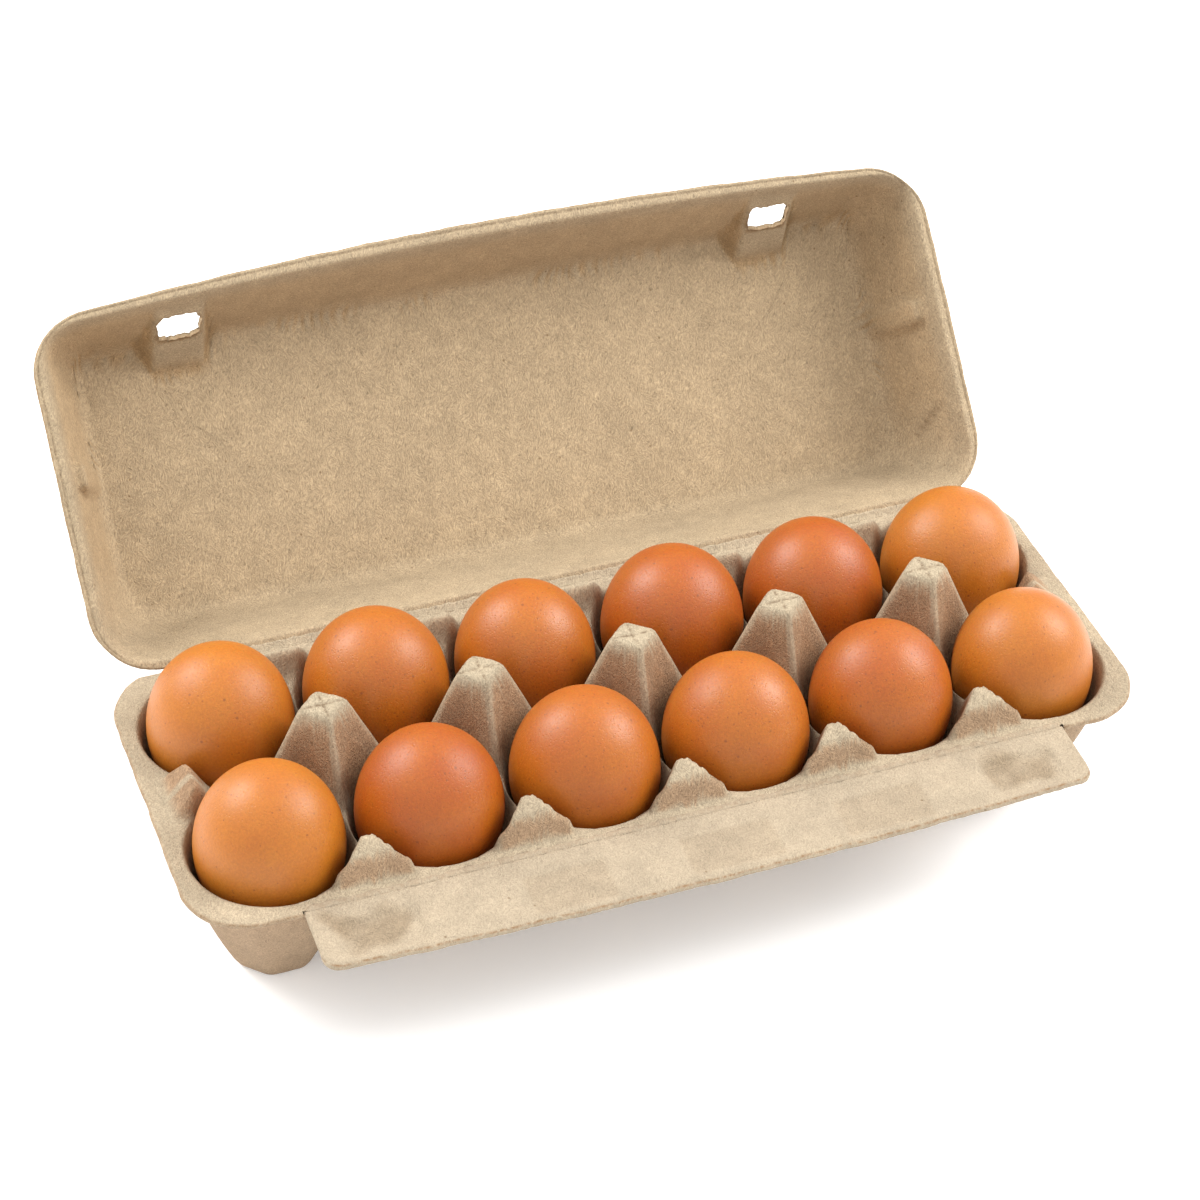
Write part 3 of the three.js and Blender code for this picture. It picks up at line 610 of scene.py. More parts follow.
def lid_relief(rings, crossed, past, inner, grown, by_hinge):
    """Raised relief of the inner face: a bead and a groove along the flange, puckers round the
    mouth, folds like a comb past the foot of the walls and a pit in one corner. Returns the
    relief and the comb alone."""
    x, u = rings[..., 0], rings[..., 1]
    station = np.linalg.norm(np.diff(rings[:, 0], axis=0, append=rings[:1, 0]), axis=1).cumsum()
    station = station[:, None] + 0 * x
    bead = BEAD.height * peak(crossed - 0.16, 0.09) - BEAD.groove * peak(crossed - 0.36, 0.07)
    pucker = station / PUCKER.pitch + 0.25 * waves(x, u, *FIELD.pucker)
    pucker = np.sin(2 * math.pi * pucker) * peak((crossed - 1) * 4.2 + inner / 4 - 0.4, 1.3)
    patch = 0.35 + 0.65 * smooth_step(waves(x, u, *FIELD.pucker_patch))
    comb = station / PUCKER.comb_pitch + 0.35 * waves(x, u, *FIELD.comb)
    comb = np.sin(2 * math.pi * comb) * peak(past - 1, 2.8)
    comb = comb * smooth_step((u - 30) / 20) * (grown > 2)
    comb = comb * smooth_step(0.5 + waves(x, u, *FIELD.comb_patch))
    pit = np.hypot(x - CORNER_FOLD.x, u - CORNER_FOLD.u)
    fold = PUCKER.height * pucker * patch + PUCKER.comb_height * comb
    fold = fold - CORNER_FOLD.depth * peak(pit, CORNER_FOLD.half_width)
    fold = fold + CORNER_FOLD.lip * peak(pit - CORNER_FOLD.lip_at, 1)
    return (bead + fold) * by_hinge, comb


def from_crack(x, u, inner):
    """Distance to the straight crack in one end wall, seen square to that wall."""
    crack_u, crack_d = CRACK.to_u - CRACK.from_u, CRACK.to_d - CRACK.from_d
    share = (u - CRACK.from_u) * crack_u + (inner - CRACK.from_d) * crack_d
    share = np.clip(share / (crack_u**2 + crack_d**2), 0, 1)
    away = np.hypot(u - CRACK.from_u - share * crack_u, inner - CRACK.from_d - share * crack_d)
    return np.where(x > CRACK.x, away, 99)


def lid_marks(x, u, moved_x, moved_u, inner, crossed, grown, fade, comb, by_hinge):
    """Pale on the flange and next to the hinge; painted light on the bosses' faces and painted
    shade beside and under them; the comb's crests paler and its troughs browner, as painted light
    and shade; fuzzy at the windows, lined at torn edges, grooved along the flange and at the
    crack, and painted shade deep on the walls."""
    in_depth = inner / LID.height
    from_boss = np.abs(np.abs(moved_x) - BOSS.x) - BOSS.half_width
    boss_face = BOSS.depth + (BOSS.u - moved_u) / BOSS.run
    boss_side = boss_face + BOSS.side * from_boss
    # Painted light: the bosses' faces are pale where they catch the light
    on_boss = smooth_step((2.4 - np.abs(inner - boss_face)) / 1.4)
    on_boss = on_boss * smooth_step((0.8 - from_boss) / 1.2)
    # Painted shade on the bosses' sides
    beside_boss = smooth_step((2.6 - np.abs(inner - boss_side)) / 1.4)
    beside_boss = beside_boss * smooth_step(from_boss / 1.2)
    # Painted shade in the corner under each boss
    boss_foot = peak(np.maximum(boss_face, boss_side) - LID.height - 0.6, 3.2)
    boss_foot = boss_foot * (from_boss < 9) * smooth_step((in_depth - 0.7) / 0.2)
    at_window = np.exp(-np.square((grown - 1) / 0.12)) * (fade > 0)
    near_hinge = peak(u - 10, 9) * smooth_step(inner)
    flange = 1 - smooth_step((inner - 3) / 5)
    return {
        # The comb adds painted light on the folds' crests and painted shade in their troughs
        "pale": np.clip(0.2 + 0.8 * (flange + near_hinge + on_boss) + 1.2 * comb, 0, 1),
        "fuzz_and_shade": np.clip(boss_foot + 0.75 * beside_boss + 0.3 * at_window - comb, 0, 1),
        "line": 0.7 * np.maximum(at_window, peak(crossed * LID.end_inset - 0.2, 0.3)),
        "groove": np.maximum(0.8 * peak(crossed - 0.37, 0.06) * by_hinge,
                             peak(from_crack(x, u, inner), CRACK.half_width)),
        # Painted shade on the walls
        "deep": 0.3 * smooth_step(in_depth * 3) * smooth_step((1 - in_depth) * 4)
                * (1 - on_boss) * smooth_step((u - 25) / 15),
    }


def make_lid(shape, material):
    """One moulded sheet: the net sunk to the inner and the outer depth, with relief on the
    inner face, two torn windows and a rounded torn edge. On the lid drawn shut the inner face
    is the lower one, so its relief points down."""
    sheet = shape.sheet_mm
    rings, crossed, past, rows = lid_net()
    x, u = rings[..., 0], rings[..., 1]
    moved_x, moved_u, grown, fade = torn_window(x, u)
    outer_u = moved_u + sheet / math.hypot(1, BOSS.run) * smooth_step(1.6 - grown / 1.6)
    inner = lid_depth(moved_x, moved_u, 0)
    outer = lid_depth(moved_x, outer_u, sheet)

    by_hinge = smooth_step((u - 4) / 4)
    raised, comb = lid_relief(rings, crossed, past, inner, grown, by_hinge)
    swell = shape.wave_mm * waves(x, u, *FIELD.lid_swell) * smooth_step(inner / 8)
    swell = swell + 0.12 * waves(x, u, *FIELD.lid_ripple) * smooth_step(inner / 3)
    inner, outer = np.maximum(inner - raised + swell, -PLAY), outer + np.minimum(swell, 0)
    inner, outer = round_edge(inner, outer, crossed * LID.end_inset, EDGE.free)
    torn = shape.torn_mm * tear(x, u, FIELD.lid_tear, FIELD.lid_fray)
    torn = torn * np.clip(1 - crossed * 1.5, 0, 1)
    away = rings - np.array([0, (LID.start + LID.mid_depth) / 2])
    away = away / np.linalg.norm(away, axis=-1, keepdims=True)
    moved_x = moved_x - away[..., 0] * torn
    moved_u = moved_u - away[..., 1] * torn * by_hinge
    outer_u = outer_u - away[..., 1] * torn * by_hinge

    upper = lid_to_carton(moved_x, outer_u, outer)
    lower = lid_to_carton(moved_x, moved_u, inner)
    _, first_seen, index = np.unique(rings.reshape(-1, 2).round(3), axis=0,
                                     return_index=True, return_inverse=True)
    index = index.reshape(x.shape)
    near, far = index, np.roll(index, -1, axis=0)
    faces = np.stack([near[:, :-1], far[:, :-1], far[:, 1:], near[:, 1:]], axis=-1)

    across = np.abs(np.abs(x) - BOSS.x) < WINDOW.half_x + 1e-3
    across = across & (np.abs(u - BOSS_FOOT) < 30)
    both = across & np.roll(across, -1, axis=0)
    hole = np.zeros(faces.shape[:2], bool)
    hole[:, rows[0]:rows[1]] = both[:, :1] & (u[:, rows[0]:rows[1]] > 60)
    rim = np.zeros(len(first_seen), bool)
    rim[index[:, 0]] = True
    points, faces_out, under, inner_points = closed_sheet(
        upper.reshape(-1, 3)[first_seen], lower.reshape(-1, 3)[first_seen], faces[~hole], rim)
    for side in (-1, 1):
        loop = window_loop(hole & (x[:, :1] * side > 0), index)
        wall = np.stack([loop, np.roll(loop, -1)], axis=1)
        faces_out.append(np.concatenate([wall[:, ::-1], under[wall]], axis=1))

    marks = lid_marks(x, u, moved_x, moved_u, inner, crossed, grown, fade, comb, by_hinge)
    marks = {mark: values.reshape(-1)[first_seen] for mark, values in marks.items()}
    outside = {"pale": 0.4, "fuzz_and_shade": 0.1, "line": 0, "groove": 0, "deep": 0}
    marks = {mark: np.concatenate([np.where(rim, values, outside[mark]), values[inner_points]])
             for mark, values in marks.items()}
    piece = make_piece("lid_sheet", points, faces_out, marks, material)
    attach(piece, "lid")
    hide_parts("lid")


def window_loop(hole, index):
    """The points round a rectangular hole in the net, in order."""
    stations, rows = np.nonzero(hole)
    first, last = stations.min(), stations.max() + 1
    low, high = rows.min(), rows.max() + 1
    return np.concatenate([index[first:last, low], index[last, low:high],
                           index[last:first:-1, high], index[first, high:low:-1]])


# The flap


def flap_edge(x):
    """Crease to free edge: a parabola between the corners, and a quarter circle at each."""
    straight = FLAP.half_length - FLAP.corner
    t = np.minimum(np.abs(x) / straight, 1)
    past = np.maximum(np.abs(x) - straight, 0)
    round_corner = FLAP.corner - np.sqrt(np.maximum(FLAP.corner**2 - past * past, 0))
    return FLAP.mid_width - (FLAP.mid_width - FLAP.end_width) * t * t - round_corner


def flap_depth(x, v, thick):
    """Depth of one skin of the flap: a slight droop, a shallow dish over each button, the
    buttons' noses under them and a lip that turns down along the free edge."""
    ax = np.abs(x)
    dish_x = DISH.half_x - np.abs(ax - BUTTON.x)
    in_dish = soft_min(dish_x, DISH.half_v - np.abs(v - DISH.v), 3)
    hollow = DISH.depth * smooth_step(in_dish / DISH.edge)
    lip = FLAP.lip_slope * soft_max(0 * v, v - flap_edge(x) + FLAP.lip_width, 1)
    outside = soft_max(np.abs(ax - BUTTON.x) - BUTTON.half_x,
                       np.abs(v - BUTTON.v) - BUTTON.half_v, 2)
    if np.ndim(thick) == 0:
        return FLAP.gap + FLAP.droop * v + hollow + lip
    nose = soft_min(offset(BUTTON.depth, thick),
                    offset(BUTTON.depth - BUTTON.slope * outside, thick, BUTTON.slope), 1.6)
    return FLAP.gap + FLAP.droop * v + soft_max(hollow + lip + thick, nose, 1)


def flap_marks(x, v, edge, field):
    """Pale all over; browner in the slanted ragged patch of each dish, partly fuzzy pulp and
    partly painted shade, and fuzzy a little in the fields, with a painted light rise on the dish's
    upper side and lines along the free edge and the crease."""
    across = np.abs(x) - BUTTON.x
    in_dish = soft_min(DISH.half_x - np.abs(across), DISH.half_v - np.abs(v - DISH.v), 3)
    in_dish = in_dish - 0.3 * (v - DISH.v) - 0.12 * np.sign(x) * across - 1
    in_dish = in_dish + 1.2 * waves(x, v, *FIELD.dish_edge)
    # Painted light: a pale rise along the dish's upper side
    rise = peak(in_dish + 0.6, 1.1) * (v < DISH.v)
    in_dish = smooth_step(in_dish / 4.5)
    # The dish's patch is fuzzier pulp and painted shade of its slopes
    patch = 0.9 * in_dish * (0.8 + 0.2 * waves(x, v, *FIELD.dish_patch))
    return {
        "pale": 1 - 0.5 * in_dish - 0.3 * field,
        "fuzz_and_shade": patch + 0.2 * field - 0.3 * rise,
        "line": 0.9 * peak(edge - v - 0.7, 0.35) + 0.25 * peak(v - FLAP.root - 0.3, 0.4),
        "groove": 0 * x,
        "deep": 0 * x,
    }


def make_flap(shape, material):
    """One sheet from its crease to its free edge, with columns close together at the rounded
    corners and rows close together at both edges, pressed with three faint fields."""
    a = FLAP.half_length
    turn = np.linspace(0, math.pi / 2, 16)
    xs = both_ways(np.concatenate([np.linspace(0, a - FLAP.corner - 0.6, 150),
                                   a - FLAP.corner + FLAP.corner * np.sin(turn)]))
    near = np.array([0, 0.1, 0.3, 0.6, 1.1, 1.8])
    far = np.array([3.4, 2.6, 2, 1.5, 1.1, 0.75, 0.45, 0.2, 0.06, 0])
    edge = flap_edge(xs)[:, None]
    start = FLAP.root + near[None]
    mid = start[:, -1:] + (edge - far[0] - start[:, -1:]) * np.linspace(0, 1, 26)[None, 1:-1]
    v = np.concatenate([np.repeat(start, len(xs), axis=0), mid, edge - far], axis=1)
    x = np.repeat(xs[:, None], v.shape[1], axis=1)

    creased = np.clip((v - FLAP.root) / FLAP.creased_width, 0, 1)
    thick = FLAP.creased + (shape.flap_mm - FLAP.creased) * creased
    upper, lower = flap_depth(x, v, 0), flap_depth(x, v, thick)
    inside = np.minimum(np.minimum(edge - v, v - FLAP.root), a - np.abs(x) + 0 * v)
    field = sum(smooth_step((half - np.abs(x - middle)) / 2) for middle, half in FIELDS)
    field = field * smooth_step((8 - np.abs(v - 15)) / 2)
    relief = FIELD_DEPTH * field + 0.12 * waves(x, v, *FIELD.flap_ripple)
    relief = relief + shape.wave_mm * waves(x, v, *FIELD.flap_swell)
    relief = relief * smooth_step(inside / 4)
    upper, lower = round_edge(upper + relief, lower + relief, inside, EDGE.flap)
    torn = tear(x, v, FIELD.flap_tear, FIELD.flap_fray, 0.7, 0.5, 0.2)
    torn = shape.torn_mm * torn * smooth_step((v - edge + 4) / 4)

    def place(depth):
        return np.stack([x, -CREASE.y - v + torn, CREASE.z - depth], axis=-1)

    count = x.size
    index = np.arange(count).reshape(x.shape)
    faces = np.stack([index[:-1, 1:], index[1:, 1:], index[1:, :-1], index[:-1, :-1]], axis=-1)
    rim = np.zeros(x.shape, bool)
    rim[[0, -1]] = True
    rim[:, [0, -1]] = True
    points, faces, _, inner = closed_sheet(
        place(upper).reshape(-1, 3), place(lower).reshape(-1, 3), faces.reshape(-1, 4),
        rim.ravel())
    below = {"pale": 0.5, "fuzz_and_shade": 0.1, "line": 0, "groove": 0, "deep": 0}
    marks = both_skins(flap_marks(x, v, edge, field), below, inner.sum())
    piece = make_piece("flap_sheet", points, faces, marks, material)
    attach(piece, "flap")
    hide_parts("flap")


# The folded strips at the two hinges


def make_fold(name, half_length, profile, seed, material):
    """A thin strip of creased pulp: a closed profile of y and z carried along X, tapering to
    nothing at its ends, with a little wander in its height."""
    profile = np.array(profile)
    xs = np.linspace(-half_length, half_length, int(half_length / 0.45))
    taper = np.sqrt(np.clip((half_length - np.abs(xs)) / 1.5, 0, 1))[:, None, None]
    middle = profile.mean(axis=0)
    ring = middle + (profile - middle) * np.maximum(taper, 0.02)
    wander = 0.07 * waves(xs, 0 * xs, 4.5, seed)[:, None, None] * np.array([0.6, 1])
    ring = ring + wander
    x = np.repeat(xs[:, None], len(profile), axis=1)
    grid = np.concatenate([x[..., None], ring], axis=-1)
    index = np.arange(x.size).reshape(x.shape)
    near, far = index, np.roll(index, -1, axis=1)
    sides = np.stack([near[:-1], far[:-1], far[1:], near[1:]], axis=-1).reshape(-1, 4)
    caps = [index[:1, ::-1], index[-1:]]
    crest = np.isin(np.arange(len(profile)), (1, 2, 3))
    marks = {"pale": np.ones(x.size), "fuzz_and_shade": np.zeros(x.size), "groove": np.zeros(x.size),
             "deep": np.zeros(x.size), "line": np.broadcast_to(0.22 * crest, x.shape).ravel()}
    return make_piece(name, grid.reshape(-1, 3), [sides] + caps, marks, material)


# The eggs


def make_egg(name, node, row_y, column, egg, material):
    """A hen's egg, its narrow end down: each point's radius is the largest radius times the
    root of 1 - t^2 times 1 + taper t, t running from -1 at the bottom to 1 at the top, with
    slight waves that make it uneven, and the whole leaning a little."""
    radius, top, shift, tone, speckle = egg
    turn = np.linspace(0, 2 * math.pi, EGG.around, endpoint=False)
    t = -np.cos(np.linspace(0, math.pi, EGG.along + 1))
    t = t[:, None] + 0 * turn
    half = radius * EGG.stretch
    uneven = 1 + 0.0035 * np.sin(2 * turn + column) + 0.002 * np.sin(3 * turn + 2.3 * column)
    r = radius * np.sqrt(np.maximum(1 - t * t, 0)) * (1 + EGG.taper * t) * uneven
    x, y, z = r * np.cos(turn), r * np.sin(turn), half * t
    lean = math.radians(EGG.lean * math.sin(2.4 * column + row_y))
    x, z = x * math.cos(lean) + z * math.sin(lean), z * math.cos(lean) - x * math.sin(lean)
    centre = (column - (COLUMNS - 1) / 2) * PITCH + shift
    grid = np.stack([x + centre, y + row_y, z + top - half], axis=-1)
    index = np.arange(t.size).reshape(t.shape)
    index[0], index[-1] = index[0, 0], index[-1, 0]
    near, far = index, np.roll(index, -1, axis=1)
    faces = np.stack([near[:-1], far[:-1], far[1:], near[1:]], axis=-1).reshape(-1, 4)
    used, packed = np.unique(faces, return_inverse=True)
    parts = without_doubles(packed.reshape(-1, 4))
    marks = {"tone": tone, "speckle": speckle}
    piece = make_piece(name, grid.reshape(-1, 3)[used], parts, marks, material)
    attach(piece, "tray")
    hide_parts(node)


# Materials


def colour(hex_code):
    """An sRGB hex colour as linear red, green, blue and full alpha."""
    srgb = [int(hex_code[k:k + 2], 16) / 255 for k in (1, 3, 5)]
    linear = [c / 12.92 if c <= 0.04045 else ((c + 0.055) / 1.055)**2.4 for c in srgb]
    return (*linear, 1.0)


def add(tree, kind, values=None, links=None, **settings):
    """Adds one node with its settings, its input values and the links that feed it."""
    node = tree.nodes.new("ShaderNode" + kind)
    for name, value in settings.items():
        setattr(node, name, value)
    for socket, value in (values or {}).items():
        node.inputs[socket].default_value = value
    for socket, source in (links or {}).items():
        tree.links.new(source, node.inputs[socket])
    return node.outputs


def new_material(name):
    """A new material with an empty tree of nodes."""
    material = bpy.data.materials.new(name)
    material.use_nodes = True
    tree = material.node_tree
    tree.nodes.clear()
    return material, tree


def moulded_pulp(name, look, part, contrast):
    """Pulp moulded from waste paper and dried in the air. Short fibres lie every way and catch
    the light as fine strokes; darker and paler clumps make it mottled, with a few bark flecks.
    Pressed rims and tops are paler and smoother, steep sides browner and fuzzier, and torn
    edges show a thin orange-brown line. Part of that paleness is painted light, on the posts'
    caps and ridges and the bosses' faces, and part of that brown is painted shade, on steep
    faces, beside and under the bosses and deep in the cups; the orange-brown line also paints
    the shade along the cups' mouths. The part's name finds its three colours, and contrast
    says how strongly the fibres and the grain show."""
    material, tree = new_material(name)
    base, pale, deep = (colour(getattr(look, part + end)) for end in ("", "_pale", "_deep"))
    place = add(tree, "TexCoord")["Object"]
    marks = {m: add(tree, "Attribute", attribute_name=m)["Fac"]
             for m in ("pale", "fuzz_and_shade", "line", "groove", "deep")}

    # Fibres: noise stretched along three directions in space, bent a little. They take turns
    # in patches, so that they cross on every face of the sheet.
    bend = add(tree, "TexNoise", {"Scale": 1 / (3.5 * MM), "Detail": 2}, {"Vector": place})
    bent = add(tree, "VectorMath", {1: (2.4 * MM,) * 3}, {0: bend["Color"], 2: place},
               operation="MULTIPLY_ADD")["Vector"]
    long, wide = look.fibre_length_mm * MM, look.fibre_width_mm * MM
    strokes = []
    for turn, rise in ((35, 30), (138, 35), (80, 44)):
        laid = add(tree, "Mapping", {
            "Rotation": (0, math.radians(-rise), math.radians(turn)), "Scale": (long, wide, wide)},
            {"Vector": bent}, vector_type="TEXTURE")["Vector"]
        strokes.append(add(tree, "TexNoise", {"Scale": 1, "Detail": 2, "Roughness": 0.55},
                           {"Vector": laid})["Fac"])
    hairs = add(tree, "Mapping", {
        "Rotation": (math.radians(20), math.radians(-25), math.radians(62)),
        "Scale": (0.9 * long, wide, wide)}, {"Vector": bent}, vector_type="TEXTURE")["Vector"]
    hairs = add(tree, "TexNoise", {"Scale": 1, "Detail": 1, "Distortion": 0.6},
                {"Vector": hairs})["Fac"]
    patches = add(tree, "TexNoise", {"Scale": 1 / (5 * MM), "Detail": 1}, {"Vector": place})
    patches = add(tree, "SeparateColor", {}, {0: patches["Color"]})
    fibres = strokes[0]
    for other, patch in zip(strokes[1:], patches):
        turns = add(tree, "MapRange", {"From Min": 0.47, "From Max": 0.55}, {"Value": patch})[0]
        fibres = add(tree, "Mix", {}, {0: turns, 2: fibres, 3: other})[0]
    grain, mottle, cloud = (
        add(tree, "TexNoise", {"Scale": 1 / (size * MM), "Detail": detail, "Roughness": rough},
            {"Vector": place})["Fac"]
        for size, detail, rough in ((0.5, 3, 0.65), (7, 4, 0.6), (32, 2, 0.5)))

    # Colour: pale where pressed and where light is painted, brown where fuzzy and where shade is
    # painted
    mixed = add(tree, "Mix", {6: base, 7: pale}, {0: marks["pale"]}, data_type="RGBA")[2]
    brown = add(tree, "Math", {1: 0.75}, {0: marks["fuzz_and_shade"], 2: marks["deep"]},
                operation="MULTIPLY_ADD", use_clamp=True)[0]
    brown = add(tree, "Math", {1: 0.8}, {0: brown}, operation="MULTIPLY")[0]
    mixed = add(tree, "Mix", {7: deep}, {0: brown, 6: mixed}, data_type="RGBA")[2]
    for source, low, high, darkest, lightest in (
            (fibres, 0.42, 0.58, 1 - 0.17 * contrast, 1 + 0.13 * contrast),
            (grain, 0.35, 0.65, 1 - 0.07 * contrast, 1 + 0.05 * contrast),
            (hairs, 0.6, 0.7, 1, 1 - 0.28 * contrast),
            (hairs, 0.32, 0.4, 1 + 0.16 * contrast, 1),
            (mottle, 0.35, 0.65, 0.92, 1.05), (cloud, 0.35, 0.65, 0.97, 1.03)):
        shade = add(tree, "MapRange", {"From Min": low, "From Max": high, "To Min": darkest,
                                       "To Max": lightest}, {"Value": source})[0]
        mixed = add(tree, "VectorMath", {}, {0: mixed, "Scale": shade}, operation="SCALE")[0]

    # Flecks: small dots of bark, only in some of the cells
    cells = add(tree, "TexVoronoi", {"Scale": 1 / (look.fleck_spacing_mm * MM)}, {"Vector": place})
    dot = add(tree, "MapRange", {"From Min": 0.05, "From Max": 0.09, "To Min": 1, "To Max": 0},
              {"Value": cells["Distance"]})[0]
    chosen = add(tree, "SeparateColor", {}, {0: cells["Color"]})[0]
    chosen = add(tree, "Math", {1: 0.55}, {0: chosen}, operation="GREATER_THAN")[0]
    fleck = add(tree, "Math", {}, {0: dot, 1: chosen}, operation="MULTIPLY")[0]
    fleck = add(tree, "Math", {1: 0.6}, {0: fleck}, operation="MULTIPLY")[0]
    mixed = add(tree, "Mix", {7: colour(look.fleck)}, {0: fleck, 6: mixed}, data_type="RGBA")[2]

    # Torn edges, grooves and the painted shade along the cups' mouths: a broken brown line
    broken = add(tree, "TexNoise", {"Scale": 1 / (1.8 * MM), "Detail": 3, "Roughness": 0.7},
                 {"Vector": place})["Fac"]
    broken = add(tree, "MapRange", {"From Min": 0.36, "From Max": 0.6}, {"Value": broken})[0]
    edge = add(tree, "Math", {}, {0: marks["line"], 1: broken}, operation="MULTIPLY")[0]
    mixed = add(tree, "Mix", {7: colour(look.torn)}, {0: edge, 6: mixed}, data_type="RGBA")[2]
    groove = add(tree, "Math", {}, {0: marks["groove"], 1: broken}, operation="MULTIPLY")[0]
    groove = add(tree, "Math", {1: 0.7}, {0: groove}, operation="MULTIPLY")[0]
    mixed = add(tree, "Mix", {7: colour(look.groove)}, {0: groove, 6: mixed}, data_type="RGBA")[2]

    # Relief: fibres stand up most where the fuzz mark is high, also where it carries painted shade
    height = fibres
    for source, share in ((hairs, -0.7), (grain, 0.45), (mottle, 0.8)):
        height = add(tree, "Math", {1: share}, {0: source, 2: height},
                     operation="MULTIPLY_ADD")[0]
    rough = add(tree, "MapRange", {"To Min": 0.55, "To Max": 1.0}, {"Value": marks["fuzz_and_shade"]})[0]
    normal = add(tree, "Bump", {"Distance": look.relief_mm * MM},
                 {"Height": height, "Strength": rough})["Normal"]
    shader = add(tree, "BsdfPrincipled", {"Roughness": 0.92, "Specular IOR Level": 0.25},
                 {"Base Color": mixed, "Normal": normal})["BSDF"]
    add(tree, "OutputMaterial", {}, {"Surface": shader})
    return material


def brown_eggshell(look):
    """Washed brown hen's eggshell: a satin skin over chalky shell, so broad soft highlights,
    fine pores, slow changes from pale to deep brown and small darker speckles."""
    material, tree = new_material("brown_eggshell_satin")
    place = add(tree, "TexCoord")["Object"]
    tone = add(tree, "Attribute", attribute_name="tone")["Fac"]
    speckle = add(tree, "Attribute", attribute_name="speckle")["Fac"]
    cloud = add(tree, "TexNoise", {"Scale": 1 / (14 * MM), "Detail": 3, "Roughness": 0.5},
                {"Vector": place})["Fac"]
    drift = add(tree, "MapRange", {"From Min": 0.3, "From Max": 0.7, "To Min": -0.18,
                                   "To Max": 0.18}, {"Value": cloud})[0]
    tone = add(tree, "Math", {}, {0: tone, 1: drift}, operation="ADD", use_clamp=True)[0]
    mixed = add(tree, "Mix", {6: colour(look.pale), 7: colour(look.deep)}, {0: tone},
                data_type="RGBA")[2]
    fine = add(tree, "TexNoise", {"Scale": 1 / (0.7 * MM), "Detail": 3, "Roughness": 0.7},
               {"Vector": place})["Fac"]
    shade = add(tree, "MapRange", {"From Min": 0.35, "From Max": 0.65, "To Min": 0.88,
                                   "To Max": 1.09}, {"Value": fine})[0]
    mixed = add(tree, "VectorMath", {}, {0: mixed, "Scale": shade}, operation="SCALE")[0]
    dots = 0
    for spacing, size in ((1.7, 0.1), (4.5, 0.06)):
        cells = add(tree, "TexVoronoi", {"Scale": 1 / (spacing * MM)}, {"Vector": place})
        dot = add(tree, "MapRange", {"From Min": size, "From Max": 2 * size, "To Min": 1,
                                     "To Max": 0}, {"Value": cells["Distance"]})[0]
        chance = add(tree, "SeparateColor", {}, {0: cells["Color"]})[1]
        chosen = add(tree, "Math", {}, {0: chance, 1: speckle}, operation="LESS_THAN")[0]
        made = add(tree, "Math", {}, {0: dot, 1: chosen}, operation="MULTIPLY")[0]
        dots = made if dots == 0 else add(tree, "Math", {}, {0: dots, 1: made},
                                          operation="MAXIMUM")[0]
    dots = add(tree, "Math", {1: 0.6}, {0: dots}, operation="MULTIPLY")[0]
    mixed = add(tree, "Mix", {7: colour(look.speck)}, {0: dots, 6: mixed}, data_type="RGBA")[2]

    pores = add(tree, "TexVoronoi", {"Scale": 1 / (0.9 * MM)}, {"Vector": place})["Distance"]
    pores = add(tree, "MapRange", {"From Min": 0.05, "From Max": 0.35}, {"Value": pores})[0]
    height = add(tree, "Math", {1: 1.2}, {0: fine, 2: pores}, operation="MULTIPLY_ADD")[0]
    normal = add(tree, "Bump", {"Strength": 0.7, "Distance": 0.08 * MM},
                 {"Height": height})["Normal"]
    gloss = add(tree, "MapRange", {"From Min": 0.3, "From Max": 0.7, "To Min": 0.4,
                                   "To Max": 0.5}, {"Value": cloud})[0]
    shader = add(tree, "BsdfPrincipled", {
        "Subsurface Weight": 0.15, "Subsurface Radius": (1.0, 0.35, 0.12),
        "Subsurface Scale": 2.5 * MM, "Specular IOR Level": 0.5},
        {"Base Color": mixed, "Roughness": gloss, "Normal": normal})["BSDF"]
    add(tree, "OutputMaterial", {}, {"Surface": shader})
    return material


def plain_floor(look):
    """A white floor that glows a little, which paints light into its own shadows: pale and even,
    with light shadows.
    """
    material, tree = new_material("glowing_white_floor")
    place = add(tree, "TexCoord")["Object"]
    cloud = add(tree, "TexNoise", {"Scale": 3, "Detail": 2}, {"Vector": place})["Fac"]
    mixed = add(tree, "Mix", {6: colour(look.floor), 7: colour(look.floor_shade)}, {0: cloud},
                data_type="RGBA")[2]
    # The emission is painted light that lifts the floor's shadows
    shader = add(tree, "BsdfPrincipled", {
        "Roughness": 0.8, "Specular IOR Level": 0.2, "Emission Color": (1, 1, 1, 1),
        "Emission Strength": look.floor_glow}, {"Base Color": mixed})["BSDF"]
    add(tree, "OutputMaterial", {}, {"Surface": shader})
    return material


# The add-on


def length(name, default, low, high, description):
    """A length that a user may change, between two limits."""
    return bpy.props.FloatProperty(name=name, default=default, min=low, max=high,
                                   description=description + ", in millimetres")


def tint(name, default, description):
    """A colour that a user may change, as an sRGB hex value."""
    return bpy.props.StringProperty(name=name, default=default, description=description)


class CartonShape(bpy.types.PropertyGroup):
    sheet_mm: length("Sheet", 1.8, 1, 2.4, "Thickness of the tray's and the lid's pulp")
    flap_mm: length("Flap", 1.4, 1, 2, "Thickness of the flap's pulp")
    wave_mm: length("Waves", 0.18, 0, 0.5, "Height of the slow waves in the pulp")
    torn_mm: length("Torn edge", 0.35, 0, 1, "How far the free edges wander inwards")


